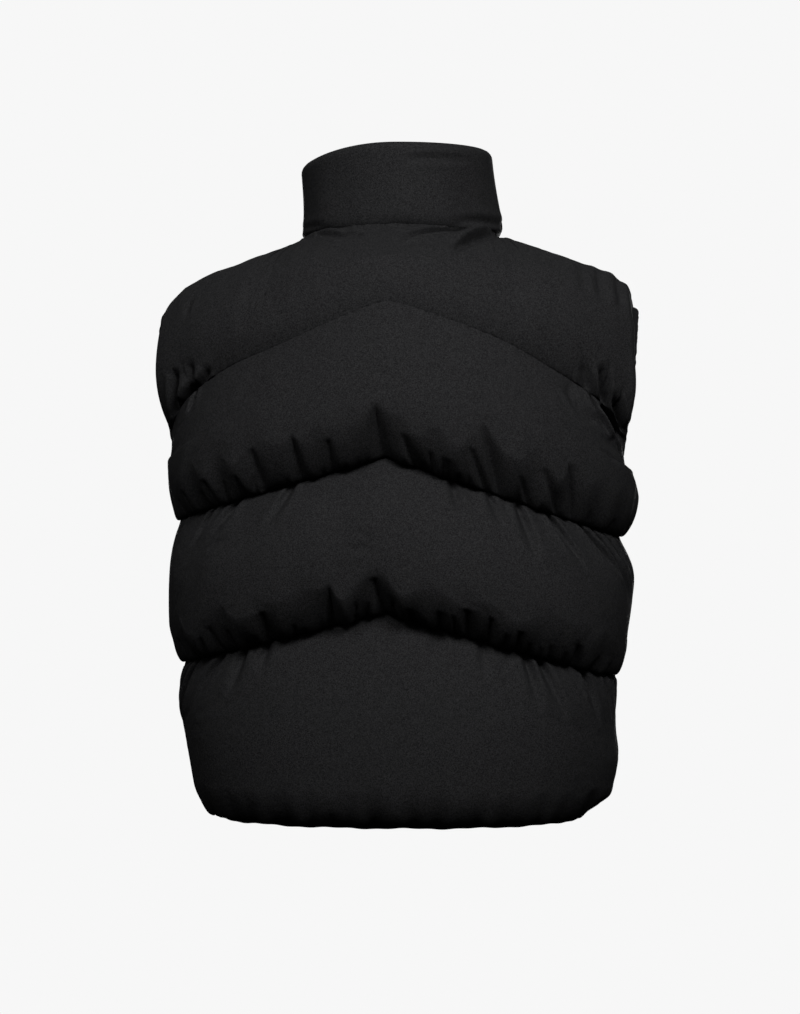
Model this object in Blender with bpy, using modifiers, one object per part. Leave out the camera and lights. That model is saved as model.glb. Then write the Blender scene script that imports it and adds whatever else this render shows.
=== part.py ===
"""A cropped puffer vest on its worn, hollow form: padded baffles, a stand collar and a front zip.

Metres, +Z up. The wearer faces -Y, and +X is the wearer's left. The origin is the middle of the
neck seam, where the vest hangs from the wearer's shoulders.

Each panel is a surface of two numbers. s runs from 0 at the panel's centre line to 1 at its outer
edge: the side seam, then the armhole. v counts the sewn lines: 0 is the hem, 1 to 3 are the
quilting lines, and 4 is the neck seam and the shoulder seam. A baffle lies between two lines.
"""

import math
from collections import namedtuple

import bmesh
import bpy
import numpy as np

MM = 0.001
GAP = 0.3 * MM
TINY = 1e-9

# ---- the torso form: where the sewn lines lie, in millimetres ---------------------------------

Centre = namedtuple("Centre", "v depth height")
CENTRE_ROWS = {
    "back": (
        Centre(0, 122, -498),
        Centre(1, 131, -326),
        Centre(2, 134, -196),
        Centre(3, 120, -64),
    ),
    "front": (
        Centre(0, 118, -498),
        Centre(1, 125, -348),
        Centre(2, 128, -228),
        Centre(3, 112, -122),
    ),
}
DEPTHWISE = {"back": 1, "front": -1}

# The side seam. lean is how much higher the left end of a line is than the right, halved.
Side = namedtuple("Side", "v half_width height lean")
SIDE_ROWS = (
    Side(0, 164, -498, 0),
    Side(1, 187, -380, 5),
    Side(2, 191, -257, 7),
    Side(2.45, 191.5, -209, 4),
)
UNDERARM_V = 2.45
UPPER_LINE_V = 3
TOP_V = 4

# The armhole, an ellipse seen from the side, and how far out it lies at each turn round it.
Armhole = namedtuple("Armhole", "middle_height half_height half_depth line_turn")
ARMHOLE = Armhole(-133, 76, 52, math.radians(71.6))
ARMHOLE_TURN_POWER = 0.8
ARMHOLE_HALF_WIDTH_AT_LINE = 197.5
ARMHOLE_LEAN_AT_LINE = 3

ROUNDNESS = 2.3  # the superellipse power of every row round the torso
ZIP_EDGE = 7.5  # from the centre line to the edge of each front

# The neck seam and the shoulder seam.
NECK_HALF_WIDTH = 84
NECK_DEPTH = {"back": 80, "front": 84}
NECK_HEIGHT = {"back": 3, "side": -3, "front": -48}
NECK_RISE_POWER = 2
NECK_SHARE = 0.5  # the part of the top line that is neck seam; the rest is shoulder seam
NECK_POINT_TURN = math.radians(94)  # from the centre back to where the shoulder seam starts
FRONT_NECK_TURN = math.pi - math.asin(ZIP_EDGE / NECK_HALF_WIDTH)
NECK_LEAN = {"back": 0.45, "side": 0.91, "front": 0.35}
SHOULDER_TIP = np.array((204.0, -4.0, -64.0))
SHOULDER_DROP_POWER = 1.1
CORNER_REACH = 0.25  # how far along s the corner at the neck point is rounded off below it
CORNER_PLACES = 9
PAST_NECK = 0.3  # the part of the shoulder over which the cloth turns to cross it square
YOKE_REACH = (0.9, 1.25)  # how round the yoke is at its centre and at the armhole

# ---- the padding -----------------------------------------------------------------------------

SEAM_OUT = 3.0  # from the sewn line to the outer face, where the layers are pinched
SEAM_IN = 2.0
INNER_PUFF = 5.0

# centre and side are the puff at the middle of the panel and near its outer edge.
Baffle = namedtuple("Baffle", "centre side fullest")
BAFFLES = {
    "back": (
        Baffle(30, 9, 0.45),
        Baffle(35, 11, 0.42),
        Baffle(33, 11, 0.42),
        Baffle(21, 14, 0.50),
    ),
    "front": (
        Baffle(28, 9, 0.45),
        Baffle(32, 11, 0.42),
        Baffle(30, 11, 0.42),
        Baffle(19, 14, 0.50),
    ),
}
OUTER_EDGE_ROUNDING = 24  # how far in from the side seam or armhole a baffle is full
ZIP_EDGE_ROUNDING = 24
UPPER_FLATNESS = 2.2  # the power with which a baffle thins towards its upper line

# The largest gathers over a line: side is s with its sign, deep is the trough in millimetres,
# wide its reach along the line and tall its reach up the baffle, as a share of the baffle.
Fold = namedtuple("Fold", "baffle side deep wide tall")
BACK_FOLDS = (
    Fold(2, 0.02, 9, 0.06, 0.55),
    Fold(2, -0.33, 10, 0.07, 0.75),
    Fold(2, -0.62, 9, 0.05, 0.60),
    Fold(2, 0.67, 8, 0.05, 0.50),
    Fold(1, 0.02, 7, 0.06, 0.50),
    Fold(1, -0.27, 9, 0.07, 0.45),
    Fold(1, 0.42, 9, 0.06, 0.45),
    Fold(1, -0.62, 7, 0.06, 0.40),
    Fold(3, 0.86, 7, 0.06, 0.60),
    Fold(3, -0.84, 7, 0.06, 0.60),
)

# ---- how finely the solids are divided --------------------------------------------------------

HALF_COLUMNS = 12
BAFFLE_ROWS = np.array((0, 0.05, 0.18, 0.45, 0.70, 0.88, 1))
SEAM_ORDER = np.array((0.37, 0.51, 0.78))  # the direction that orders the corners along a seam

# ---- collar ----------------------------------------------------------------------------------

COLLAR_TOP_HALF_WIDTH = 76
COLLAR_TOP_DEPTH = {"back": 72, "front": 84}
COLLAR_TOP_HEIGHT = {"back": 69, "side": 61, "front": 28}
COLLAR_CLEAR = 0.4  # from the neck seam to the collar's foot
COLLAR_FOOT = 9
COLLAR_HALF_THICKNESS = 8.0
COLLAR_SEAM_HALF = 2.5
COLLAR_FOOT_SHARE = 0.22
COLLAR_END_TAPER = 20
COLLAR_WALL_ROWS = (0, 0.07, 0.22, 0.5, 0.8, 1)
COLLAR_CAP_TURNS = (45, 90, 135)

# ---- bindings: (away from the cloth's edge, outwards) ------------------------------------------

ARMHOLE_BINDING = ((0.3, -2.0), (0.3, 3.0), (4.0, 3.4), (6.4, 2.2), (7.0, 0.5), (6.4, -1.4), (4.0, -2.4))
HEM_BINDING = ((0.3, -2.0), (0.3, 2.4), (5.0, 2.4), (7.6, 1.4), (8.0, 0.2), (7.6, -1.0), (5.0, -2.0))

# ---- front zip -------------------------------------------------------------------------------

TAPE_OUTER = 7.2
TAPE_INNER = 0.15
TAPE_THICK = 1.2
TAPE_PARTED = 1.4  # the tapes stand this far from the middle above the slider
ZIP_COLLAR_HEIGHTS = (-42, -30, -18, -6, 6, 15, 16, 22, 27)
TEETH_HALF_WIDTH = 3.0
TEETH_BACK = 0.9
TEETH_FRONT = 3.1
TEETH_CHAMFER = 0.7
SLIDER_HEIGHT_AT = 15.0  # the height of the slider's middle
SLIDER_HALF_WIDTH = 4.5
SLIDER_HALF_HEIGHT = 6.0
SLIDER_PLATE = (3.5, 4.9)
SLIDER_BACK_PLATE = (-2.4, -1.2)
SLIDER_POST_HALF_WIDTH = 1.0
SLIDER_POST_SPAN = (1.2, 5.0)
SLIDER_JOIN = 0.4  # how far the post and bridge sink into the plates they join
BRIDGE_HALF_WIDTH = 1.0
BRIDGE_OUTER = (4.6, 4.2)  # half its height on the plate, and how far it stands out
BRIDGE_INNER = (3.4, 3.0)
BRIDGE_SQUARENESS = 0.7
BRIDGE_STEPS = 10
TAB_AXIS_OUT = 6.4  # from the zip's middle plane to the hinge axis
TAB_HALF_WIDTH = 3.6
TAB_HALF_THICK = 0.6
TAB_LENGTH = 30.0
TAB_WINDOW_HALF_WIDTH = 1.7
TAB_WINDOW = (0.6, 6.6)
TAB_TOP = 0.7
TAB_CORNER = 0.8
TAB_WINDOW_CORNER = 0.3

BLACK_CLOTH = (0.020, 0.020, 0.022, 1)
BLACK_TRIM = (0.012, 0.012, 0.013, 1)
BLACK_METAL = (0.030, 0.030, 0.032, 1)


# ---- curves ----------------------------------------------------------------------------------


def smooth_through(knots, values, at):
    """A smooth curve through the rows of a table, read where asked. It never overshoots a row."""
    knots = np.asarray(knots, float)
    values = np.asarray(values, float)
    steps = np.diff(knots)
    rises = np.diff(values) / steps
    slopes = np.empty_like(values)
    slopes[0] = rises[0]
    slopes[-1] = rises[-1]
    before = rises[:-1]
    after = rises[1:]
    turning = before * after <= 0
    slopes[1:-1] = np.where(turning, 0, 2 * before * after / np.where(turning, 1, before + after))
    row = np.clip(np.searchsorted(knots, at, side="right") - 1, 0, len(steps) - 1)
    share = (at - knots[row]) / steps[row]
    return hermite(
        values[row], slopes[row] * steps[row], values[row + 1], slopes[row + 1] * steps[row], share
    )


def hermite(start, leaving, end, arriving, share):
    """The cubic from start to end with these tangents at its ends."""
    square = share * share
    cube = square * share
    return (
        (2 * cube - 3 * square + 1) * start
        + (cube - 2 * square + share) * leaving
        + (3 * square - 2 * cube) * end
        + (cube - square) * arriving
    )


def unit(vectors):
    return vectors / np.linalg.norm(vectors, axis=-1, keepdims=True)


def stack(x, y, z):
    return np.stack(np.broadcast_arrays(x, y, z), axis=-1).astype(float)


# ---- the sewn surface, left half, in millimetres ----------------------------------------------


def outer_edge(v, hand):
    """(half width, depth, height) of the side seam and, above the underarm, of the armhole."""
    below = np.minimum(v, UNDERARM_V)
    knots = [row.v for row in SIDE_ROWS]
    half_width = smooth_through(knots, [row.half_width for row in SIDE_ROWS], below)
    height = smooth_through(knots, [row.height for row in SIDE_ROWS], below)
    lean = smooth_through(knots, [row.lean for row in SIDE_ROWS], below)
    share = np.clip((v - UNDERARM_V) / (UPPER_LINE_V - UNDERARM_V), 0, 1)
    turn = ARMHOLE.line_turn * share**ARMHOLE_TURN_POWER
    around = ARMHOLE.middle_height - ARMHOLE.half_height * np.cos(turn)
    height = np.where(v > UNDERARM_V, around, height)
    risen = (1 - np.cos(turn)) / (1 - math.cos(ARMHOLE.line_turn))
    half_width = half_width + (ARMHOLE_HALF_WIDTH_AT_LINE - SIDE_ROWS[-1].half_width) * risen
    lean = lean + (ARMHOLE_LEAN_AT_LINE - SIDE_ROWS[-1].lean) * risen
    depth = ARMHOLE.half_depth * np.sin(turn)
    return half_width, depth, height + hand * lean


def lower_points(panel, s, v, hand):
    """Points below the upper quilting line. Each row is a stretch of a superellipse round the
    torso. Its height falls evenly with the distance across, which makes straight chevrons, but
    along the upper quilting line it falls evenly with the turn, which makes a curved one."""
    rows = CENTRE_ROWS[panel]
    knots = [row.v for row in rows]
    depth = smooth_through(knots, [row.depth for row in rows], v)
    height = smooth_through(knots, [row.height for row in rows], v)
    edge_x, edge_depth, edge_height = outer_edge(v, hand)
    end_turn = np.arccos((edge_depth / depth) ** (ROUNDNESS / 2))
    turn = s * end_turn
    power = 2 / ROUNDNESS
    start_x = ZIP_EDGE if panel == "front" else 0.0
    across = (np.sin(turn) / np.sin(end_turn)) ** power
    x = start_x + (edge_x - start_x) * across
    y = DEPTHWISE[panel] * depth * np.cos(turn) ** power
    curved = np.clip(v - (UPPER_LINE_V - 1), 0, 1) ** 2
    fall = across + (s - across) * curved
    return stack(x, y, height + (edge_height - height) * fall)


def neck_point(turn):
    """A point of the neck seam, turn radians round it from the centre back."""
    behind = np.cos(turn) >= 0
    depth = np.where(behind, NECK_DEPTH["back"], NECK_DEPTH["front"])
    end_height = np.where(behind, NECK_HEIGHT["back"], NECK_HEIGHT["front"])
    side_height = NECK_HEIGHT["side"]
    height = side_height + (end_height - side_height) * np.abs(np.cos(turn)) ** NECK_RISE_POWER
    return stack(NECK_HALF_WIDTH * np.sin(turn), depth * np.cos(turn), height)


def neck_frame(turn):
    """(forwards along the neck seam, inwards and up square to it, out of the cloth)."""
    step = 1e-3
    along = unit(neck_point(turn + step) - neck_point(turn - step))
    end = np.where(np.cos(turn) >= 0, NECK_LEAN["back"], NECK_LEAN["front"])
    lean = NECK_LEAN["side"] + (end - NECK_LEAN["side"]) * np.cos(turn) ** 2
    inwards = stack(-lean * np.sin(turn), -lean * np.cos(turn), np.sqrt(1 - lean**2))
    inwards = unit(inwards - along * np.sum(inwards * along, axis=-1, keepdims=True))
    return along, inwards, np.cross(inwards, along)


def neck_turn(panel, s):
    """How far round the neck seam a column of the panel ends."""
    start = FRONT_NECK_TURN if panel == "front" else 0.0
    return start + (NECK_POINT_TURN - start) * np.minimum(s / NECK_SHARE, 1)


def top_line(panel, s):
    """(points, directions) where the columns of a panel end: on the neck seam, then on the
    shoulder seam, which the cloth crosses square to it."""
    turn = neck_turn(panel, s)
    along = np.clip((s - NECK_SHARE) / (1 - NECK_SHARE), 0, 1)
    start = neck_point(np.asarray(NECK_POINT_TURN))
    drop = along**SHOULDER_DROP_POWER
    x = start[0] + (SHOULDER_TIP[0] - start[0]) * along
    y = start[1] + (SHOULDER_TIP[1] - start[1]) * along
    z = start[2] + (SHOULDER_TIP[2] - start[2]) * drop
    points = np.where((s > NECK_SHARE)[..., None], stack(x, y, z), neck_point(turn))
    forwards, inwards, _ = neck_frame(turn)
    near_neck = np.minimum(s / NECK_SHARE, 1) ** 2
    past_neck = np.clip(along / PAST_NECK, 0, 1)
    share = (near_neck + past_neck)[..., None] / 2
    square_on = np.array((0.0, -1.0, 0.0))
    crossing = np.where((s > NECK_SHARE)[..., None], square_on, forwards) * DEPTHWISE[panel]
    return points, unit(inwards * (1 - share) + crossing * share)


def soft_top_line(panel, s):
    """The top line with the corner at the neck point rounded off: a mean of places near by."""
    reach = np.minimum(CORNER_REACH, np.minimum(s, 1 - s))
    offsets = np.linspace(-1, 1, CORNER_PLACES)
    places = [top_line(panel, s + reach * offset) for offset in offsets]
    points = sum(place[0] for place in places) / CORNER_PLACES
    return points, unit(sum(place[1] for place in places))


def panel_points(panel, s, v, hand):
    """Points of a panel's sewn surface, all on the side of positive X."""
    s, v = np.broadcast_arrays(np.asarray(s, float), np.asarray(v, float))
    below = lower_points(panel, s, np.minimum(v, UPPER_LINE_V), hand)
    step = 1e-3
    line = np.full_like(v, UPPER_LINE_V)
    start = lower_points(panel, s, line, hand)
    rising = unit(start - lower_points(panel, s, line - step, hand))
    end, _ = top_line(panel, s)
    soft_end, arriving = soft_top_line(panel, s)
    roundness = YOKE_REACH[0] + (YOKE_REACH[1] - YOKE_REACH[0]) * s
    reach = np.linalg.norm(end - start, axis=-1, keepdims=True) * roundness[..., None]
    share = np.clip(v - UPPER_LINE_V, 0, 1)[..., None]
    end = soft_end + (end - soft_end) * share**2
    yoke = hermite(start, rising * reach, end, arriving * reach, share)
    return np.where((v > UPPER_LINE_V)[..., None], yoke, below)


def panel_normals(panel, s, v, hand):
    """Unit vectors out of the sewn surface, from its slopes along s and v."""
    s, v = np.broadcast_arrays(np.asarray(s, float), np.asarray(v, float))
    step = 2e-3
    along = panel_points(panel, np.minimum(s + step, 1), v, hand) - panel_points(
        panel, np.maximum(s - step, 0), v, hand
    )
    up = panel_points(panel, s, np.minimum(v + step, TOP_V), hand) - panel_points(
        panel, s, np.maximum(v - step, 0), hand
    )
    normals = unit(np.cross(along, up)) * -DEPTHWISE[panel]
    if panel == "back":
        normals[..., 0] = np.where(s == 0, 0, normals[..., 0])
    _, _, neck_out = neck_frame(neck_turn(panel, s))
    start = np.clip(s, NECK_SHARE, 1 - step)
    shoulder = top_line(panel, start + step)[0] - top_line(panel, start)[0]
    shoulder_out = unit(stack(-shoulder[..., 2], 0, shoulder[..., 0]))
    seam_out = np.where((s <= NECK_SHARE)[..., None], neck_out, shoulder_out)
    return unit(np.where((v == TOP_V)[..., None], seam_out, normals))


# ---- baffles ---------------------------------------------------------------------------------


def edge_fullness(distance, rounding):
    """0 at a sewn edge, rising as a quarter ellipse to 1."""
    near = np.clip(distance / rounding, 0, 1)
    return np.sqrt(1 - (1 - near) ** 2)


def rise_fullness(share, fullest):
    """How full a baffle is up its height: it leaves its lower line square on, is fullest a
    little below the middle, and runs flatter into its upper line."""
    low = np.clip(share / fullest, 0, 1)
    high = np.clip((share - fullest) / (1 - fullest), 0, 1)
    return np.where(share < fullest, np.sqrt(1 - (1 - low) ** 2), 1 - high**UPPER_FLATNESS)


def distance_along(points, axis):
    """Running length along one axis of a grid of points."""
    steps = np.linalg.norm(np.diff(points, axis=axis), axis=-1)
    zero = np.zeros_like(np.take(steps, [0], axis=axis))
    return np.concatenate([zero, np.cumsum(steps, axis=axis)], axis=axis)


def fold_depth(number, signed_s, share):
    """The troughs of the gathers over a baffle's lower line, deepest at the line."""
    depth = np.zeros(np.broadcast(signed_s, share).shape)
    for fold in BACK_FOLDS:
        if fold.baffle == number:
            across = np.exp(-(((signed_s - fold.side) / fold.wide) ** 2))
            depth = depth + fold.deep * across * np.clip(1 - share / fold.tall, 0, 1)
    return depth


def tangents(points, closed):
    """Unit tangents of a path of straight lengths: at each corner, midway between its two."""
    leaving = unit(np.diff(points, axis=0, append=points[:1]))
    if not closed:
        leaving[-1] = leaving[-2]
    arriving = np.roll(leaving, 1, axis=0)
    if not closed:
        arriving[0] = leaving[0]
    return unit(leaving + arriving)


def drawn_in(points):
    """The grid with its border moved inwards, square to itself, by half the gap between pieces."""
    grid = points.copy()
    for axis in (0, 1):
        for border, beside in ((0, 1), (-1, -2)):
            edge = np.take(points, border, axis=axis)
            along = tangents(edge, closed=False)
            inward = np.take(points, beside, axis=axis) - edge
            inward = unit(inward - along * np.sum(inward * along, axis=-1, keepdims=True))
            inward = inward * GAP / MM / 2
            if axis == 0:
                grid[border] += inward
            else:
                grid[:, border] += inward
    return grid


def from_armhole(panel, points, hand):
    """The distance of each point from the armhole's edge."""
    edge = panel_points(panel, 1.0, np.linspace(UNDERARM_V, TOP_V, 60)[:, None], hand)
    return np.linalg.norm(points[:, None] - edge[None], axis=-1).min(axis=1)


def armhole_rows():
    """The values of v where the armhole's edge has a corner, from the underarm to the shoulder."""
    rows = np.concatenate([2 + BAFFLE_ROWS, UPPER_LINE_V + BAFFLE_ROWS[1:]])
    return rows[rows >= UNDERARM_V - TINY]


def armhole_ring(hand):
    """(points, away, out) round the armhole's edge, up the back and down the front, at positive
    X. away points into the armhole and out is square to it and to the edge."""
    v = armhole_rows()
    points = [panel_points(panel, 1.0, v, hand) for panel in ("back", "front")]
    normals = [panel_normals(panel, 1.0, v, hand) for panel in ("back", "front")]
    normals[0][[0, -1]] += normals[1][[0, -1]]
    ring = np.concatenate([points[0], points[1][-2:0:-1]])
    out = unit(np.concatenate([normals[0], normals[1][-2:0:-1]]))
    share = np.clip(v - UNDERARM_V, 0, 1)
    share = np.concatenate([share, share[-2:0:-1]])[:, None]
    out = out * share + np.array((1.0, 0.0, 0.0)) * (1 - share)
    along = tangents(ring, closed=True)
    out = unit(out - along * np.sum(out * along, axis=-1, keepdims=True))
    return ring, np.cross(out, along), out


def armhole_out(panel, v, hand):
    """The armhole ring's out at the given rows of one panel."""
    number = np.searchsorted(armhole_rows(), v - TINY)
    return armhole_ring(hand)[2][number if panel == "back" else -number]


def wall_triangles(points, outer, inner, next_outer, next_inner):
    """Two triangles for each twisted wall face along a seam. Its diagonal leaves the outer corner
    of the end that comes first in one fixed direction, so both pieces at a seam agree on it."""
    order = np.abs(points) @ SEAM_ORDER
    swap = order[outer] > order[next_outer]
    low_outer = np.where(swap, next_outer, outer)
    low_inner = np.where(swap, next_inner, inner)
    high_outer = np.where(swap, outer, next_outer)
    high_inner = np.where(swap, inner, next_inner)
    near = np.stack([low_outer, low_inner, high_inner], axis=-1)
    far = np.stack([low_outer, high_inner, high_outer], axis=-1)
    return np.concatenate([near.reshape(-1, 3), far.reshape(-1, 3)]).tolist()


def closed_shell(name, outer, inner, material):
    """One closed body between two grids of the same size, given in millimetres."""
    rows, columns = outer.shape[:2]
    count = rows * columns
    index = np.arange(count).reshape(rows, columns)
    corners = (index[:-1, :-1], index[:-1, 1:], index[1:, 1:], index[1:, :-1])
    top = np.stack([corner.ravel() for corner in corners], axis=1)
    rim = np.concatenate([index[0], index[1:, -1], index[-1, -2::-1], index[-2:0:-1, 0]])
    beyond = np.roll(rim, -1)
    points = np.concatenate([outer.reshape(-1, 3), inner.reshape(-1, 3)]) * MM
    walls = wall_triangles(points, rim, rim + count, beyond, beyond + count)
    faces = top.tolist() + (top + count).tolist() + walls
    return add_mesh(name, points, faces, material)


def baffle_grids(panel, number, signed_s, hand):
    """The outer and inner faces of one padded baffle between lines number and number + 1."""
    share = BAFFLE_ROWS[:, None]
    s = np.abs(signed_s)[None, :]
    v = number + share
    sewn = panel_points(panel, s, v, hand)
    armhole = from_armhole(panel, sewn, hand)
    normals = panel_normals(panel, s, v, hand)
    rows = number + BAFFLE_ROWS
    bound = rows >= UNDERARM_V - TINY
    for column in (0, -1):
        if abs(signed_s[column]) == 1:
            normals[bound, column] = armhole_out(panel, rows[bound], hand[0, column])
    mirror = np.stack([np.sign(hand) + 0 * s, 1 + 0 * s, 1 + 0 * s], axis=-1)
    sewn = sewn * mirror
    normals = normals * mirror
    baffle = BAFFLES[panel][number]
    across = distance_along(sewn, 1)
    to_seam = across[:, -1:] - across
    full = 1.0
    if panel == "back":
        to_seam = np.minimum(to_seam, across)
    else:
        full = edge_fullness(across, ZIP_EDGE_ROUNDING)
    to_edge = np.minimum(to_seam, armhole)
    full = full * edge_fullness(to_edge, OUTER_EDGE_ROUNDING)
    puff = baffle.side + (baffle.centre - baffle.side) * (1 - s**2)
    rise = rise_fullness(share, baffle.fullest)
    if panel == "back":
        puff = puff - fold_depth(number, signed_s[None, :], share)
    sewn = drawn_in(sewn)
    outer = sewn + normals * (SEAM_OUT + puff * full * rise)[..., None]
    inner = sewn - normals * (SEAM_IN + INNER_PUFF * full * rise)[..., None]
    return outer, inner


def make_back(material):
    signed_s = np.linspace(-1, 1, 2 * HALF_COLUMNS + 1)
    hand = np.where(signed_s < 0, -1, 1)[None, :]
    for number in range(TOP_V):
        outer, inner = baffle_grids("back", number, signed_s, hand)
        closed_shell(f"back_baffle_{number + 1}", outer, inner, material)


def make_front(side, hand, material):
    signed_s = np.linspace(0, 1, HALF_COLUMNS + 1)
    for number in range(TOP_V):
        outer, inner = baffle_grids("front", number, signed_s, np.full((1, len(signed_s)), hand))
        closed_shell(f"front_{side}_baffle_{number + 1}", outer, inner, material)


# ---- strips carried along a path ---------------------------------------------------------------


def carried_profile(name, path, away, out, profile, closed, material):
    """A solid whose profile, given as (away, out) pairs, is carried along the path."""
    profile = np.asarray(profile, float)
    sections = (
        path[:, None]
        + away[:, None] * profile[None, :, :1]
        + out[:, None] * profile[None, :, 1:]
    )
    return loft(name, sections * MM, closed, material)


def loft(name, sections, closed, material):
    """Faces between sections of equal size, with caps at the ends of an open run."""
    stations, corners = sections.shape[:2]
    index = np.arange(stations * corners).reshape(stations, corners)
    following = np.roll(index, -1, axis=0)
    if not closed:
        index = index[:-1]
        following = following[:-1]
    beside = np.roll(index, -1, axis=1)
    opposite = np.roll(following, -1, axis=1)
    points = sections.reshape(-1, 3)
    faces = wall_triangles(points, beside, index, opposite, following)
    if not closed:
        last = (stations - 1) * corners
        faces.append(list(range(corners)))
        faces.append(list(range(last, last + corners)))
    return add_mesh(name, points, faces, material)


def make_armhole_binding(side, hand, material):
    """The bound edge of one armhole: up the back edge, over the shoulder and down the front."""
    flip = np.array((hand, 1, 1))
    points, away, out = (part * flip for part in armhole_ring(hand))
    name = f"armhole_binding_{side}"
    carried_profile(name, points, away, out, ARMHOLE_BINDING, True, material)


def make_hem_binding(material):
    """The narrow strip under the hem, from one zip edge round the back to the other."""
    s = np.linspace(0, 1, HALF_COLUMNS + 1)
    v = np.zeros_like(s)
    points = []
    normals = []
    for panel, hand, order in (("front", 1, 1), ("back", 1, -1), ("back", -1, 1), ("front", -1, -1)):
        flip = np.array((hand, 1, 1))
        run = slice(None, None, order)
        kept = slice(None) if not points else slice(1, None)
        points.append((panel_points(panel, s, v, hand) * flip)[run][kept])
        normals.append((panel_normals(panel, s, v, hand) * flip)[run][kept])
    points = np.concatenate(points)
    normals = np.concatenate(normals)
    along = tangents(points, closed=False)
    out = unit(normals - along * np.sum(normals * along, axis=-1, keepdims=True))
    away = np.cross(along, out)
    carried_profile("hem_binding", points, away, out, HEM_BINDING, False, material)


# ---- collar ----------------------------------------------------------------------------------


def collar_spine(turn, hand):
    """(foot, bend, top) of the collar's middle line at one place round the neck."""
    seam = neck_point(turn)
    _, inwards, _ = neck_frame(turn)
    foot = seam + inwards * COLLAR_CLEAR
    bend = foot + inwards * COLLAR_FOOT
    behind = math.cos(turn) >= 0
    panel = "back" if behind else "front"
    start_x = 0.0 if behind else ZIP_EDGE
    narrowing = (COLLAR_TOP_HALF_WIDTH - start_x) / (NECK_HALF_WIDTH - start_x)
    side_height = COLLAR_TOP_HEIGHT["side"]
    rise = abs(math.cos(turn)) ** NECK_RISE_POWER
    top = np.array(
        (
            start_x + (seam[0] - start_x) * narrowing,
            COLLAR_TOP_DEPTH[panel] * math.cos(turn),
            side_height + (COLLAR_TOP_HEIGHT[panel] - side_height) * rise,
        )
    )
    flip = np.array((hand, 1, 1))
    return foot * flip, bend * flip, top * flip


def bezier(foot, bend, top, share):
    share = np.asarray(share, float)[..., None]
    return (1 - share) ** 2 * foot + 2 * share * (1 - share) * bend + share**2 * top


def collar_section(turn, hand, end_fullness):
    """The closed profile of the collar's wall at one place: pinched at the seam, full above it,
    with a round top edge."""
    spine = collar_spine(turn, hand)
    shares = np.array(COLLAR_WALL_ROWS)
    middle = bezier(*spine, shares)
    step = 1e-3
    above = bezier(*spine, np.minimum(shares + step, 1))
    below = bezier(*spine, np.maximum(shares - step, 0))
    tangent = unit(above - below)
    radial = np.array((math.sin(turn), math.cos(turn), 0.0))
    _, _, seam_out = neck_frame(turn)
    upright = np.clip(shares / COLLAR_FOOT_SHARE, 0, 1)[:, None]
    outward = (seam_out * (1 - upright) + radial * upright) * np.array((hand, 1, 1))
    outward = unit(outward - tangent * np.sum(tangent * outward, axis=-1, keepdims=True))
    fullness = edge_fullness(shares, COLLAR_FOOT_SHARE)
    half = COLLAR_SEAM_HALF + (COLLAR_HALF_THICKNESS - COLLAR_SEAM_HALF) * fullness * end_fullness
    turns = np.radians(COLLAR_CAP_TURNS)[:, None]
    cap = middle[-1] + half[-1] * (np.cos(turns) * outward[-1] + np.sin(turns) * tangent[-1])
    outer_wall = middle + outward * half[:, None]
    inner_wall = middle - outward * half[:, None]
    return np.concatenate([outer_wall, cap, inner_wall[::-1]])


def make_collar(material):
    s = np.linspace(0, NECK_SHARE, HALF_COLUMNS // 2 + 1)
    half_turns = np.concatenate([neck_turn("front", s), neck_turn("back", s)[-2::-1]])
    places = [(turn, 1) for turn in half_turns] + [(turn, -1) for turn in half_turns[-2::-1]]
    seam = np.array([neck_point(np.asarray(turn)) * (hand, 1, 1) for turn, hand in places])
    run = distance_along(seam, 0)
    from_end = np.minimum(run, run[-1] - run)
    fullness = edge_fullness(from_end, COLLAR_END_TAPER)
    sections = np.array(
        [collar_section(turn, hand, full) for (turn, hand), full in zip(places, fullness)]
    )
    sections[0, :, 0] = ZIP_EDGE
    sections[-1, :, 0] = -ZIP_EDGE
    loft("collar", sections * MM, False, material)


# ---- zip -------------------------------------------------------------------------------------


def zip_path():
    """The zip's middle line, from the hem up the fronts and the collar, with x at 0."""
    v = np.concatenate([number + BAFFLE_ROWS[:-1] for number in range(TOP_V)] + [[TOP_V]])
    front = panel_points("front", np.zeros_like(v), v, 1)
    fine = bezier(*collar_spine(FRONT_NECK_TURN, 1), np.linspace(0, 1, 40))
    heights = np.array(ZIP_COLLAR_HEIGHTS)
    collar = stack(0, np.interp(heights, fine[:, 2], fine[:, 1]), heights)
    path = np.concatenate([front, collar])
    path[:, 0] = 0
    return path


def zip_outwards(path):
    tangent = unit(np.gradient(path, axis=0))
    return np.cross(tangent, np.array((-1.0, 0.0, 0.0)))


def zip_y(path, height):
    return float(np.interp(height, path[:, 2], path[:, 1]))


def make_tape(side, hand, material):
    """One woven tape beside the teeth, a strip with Solidify. Above the slider the two part."""
    path = zip_path()
    inner = np.where(path[:, 2] > SLIDER_HEIGHT_AT, TAPE_PARTED, TAPE_INNER)
    edges = []
    for reach in (inner, np.full(len(path), TAPE_OUTER)):
        edge = path.copy()
        edge[:, 0] = hand * reach
        edges.append(edge)
    grid = np.stack(edges, axis=1)
    index = np.arange(grid.shape[0] * 2).reshape(-1, 2)
    faces = np.stack([index[:-1, 0], index[:-1, 1], index[1:, 1], index[1:, 0]], axis=1).tolist()
    tape = add_mesh(f"zip_tape_{side}", grid.reshape(-1, 3) * MM, faces, material, closed=False)
    wall = tape.modifiers.new("wall", "SOLIDIFY")
    wall.thickness = TAPE_THICK * MM
    wall.offset = 0
    wall.use_even_offset = True
    return tape


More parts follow.
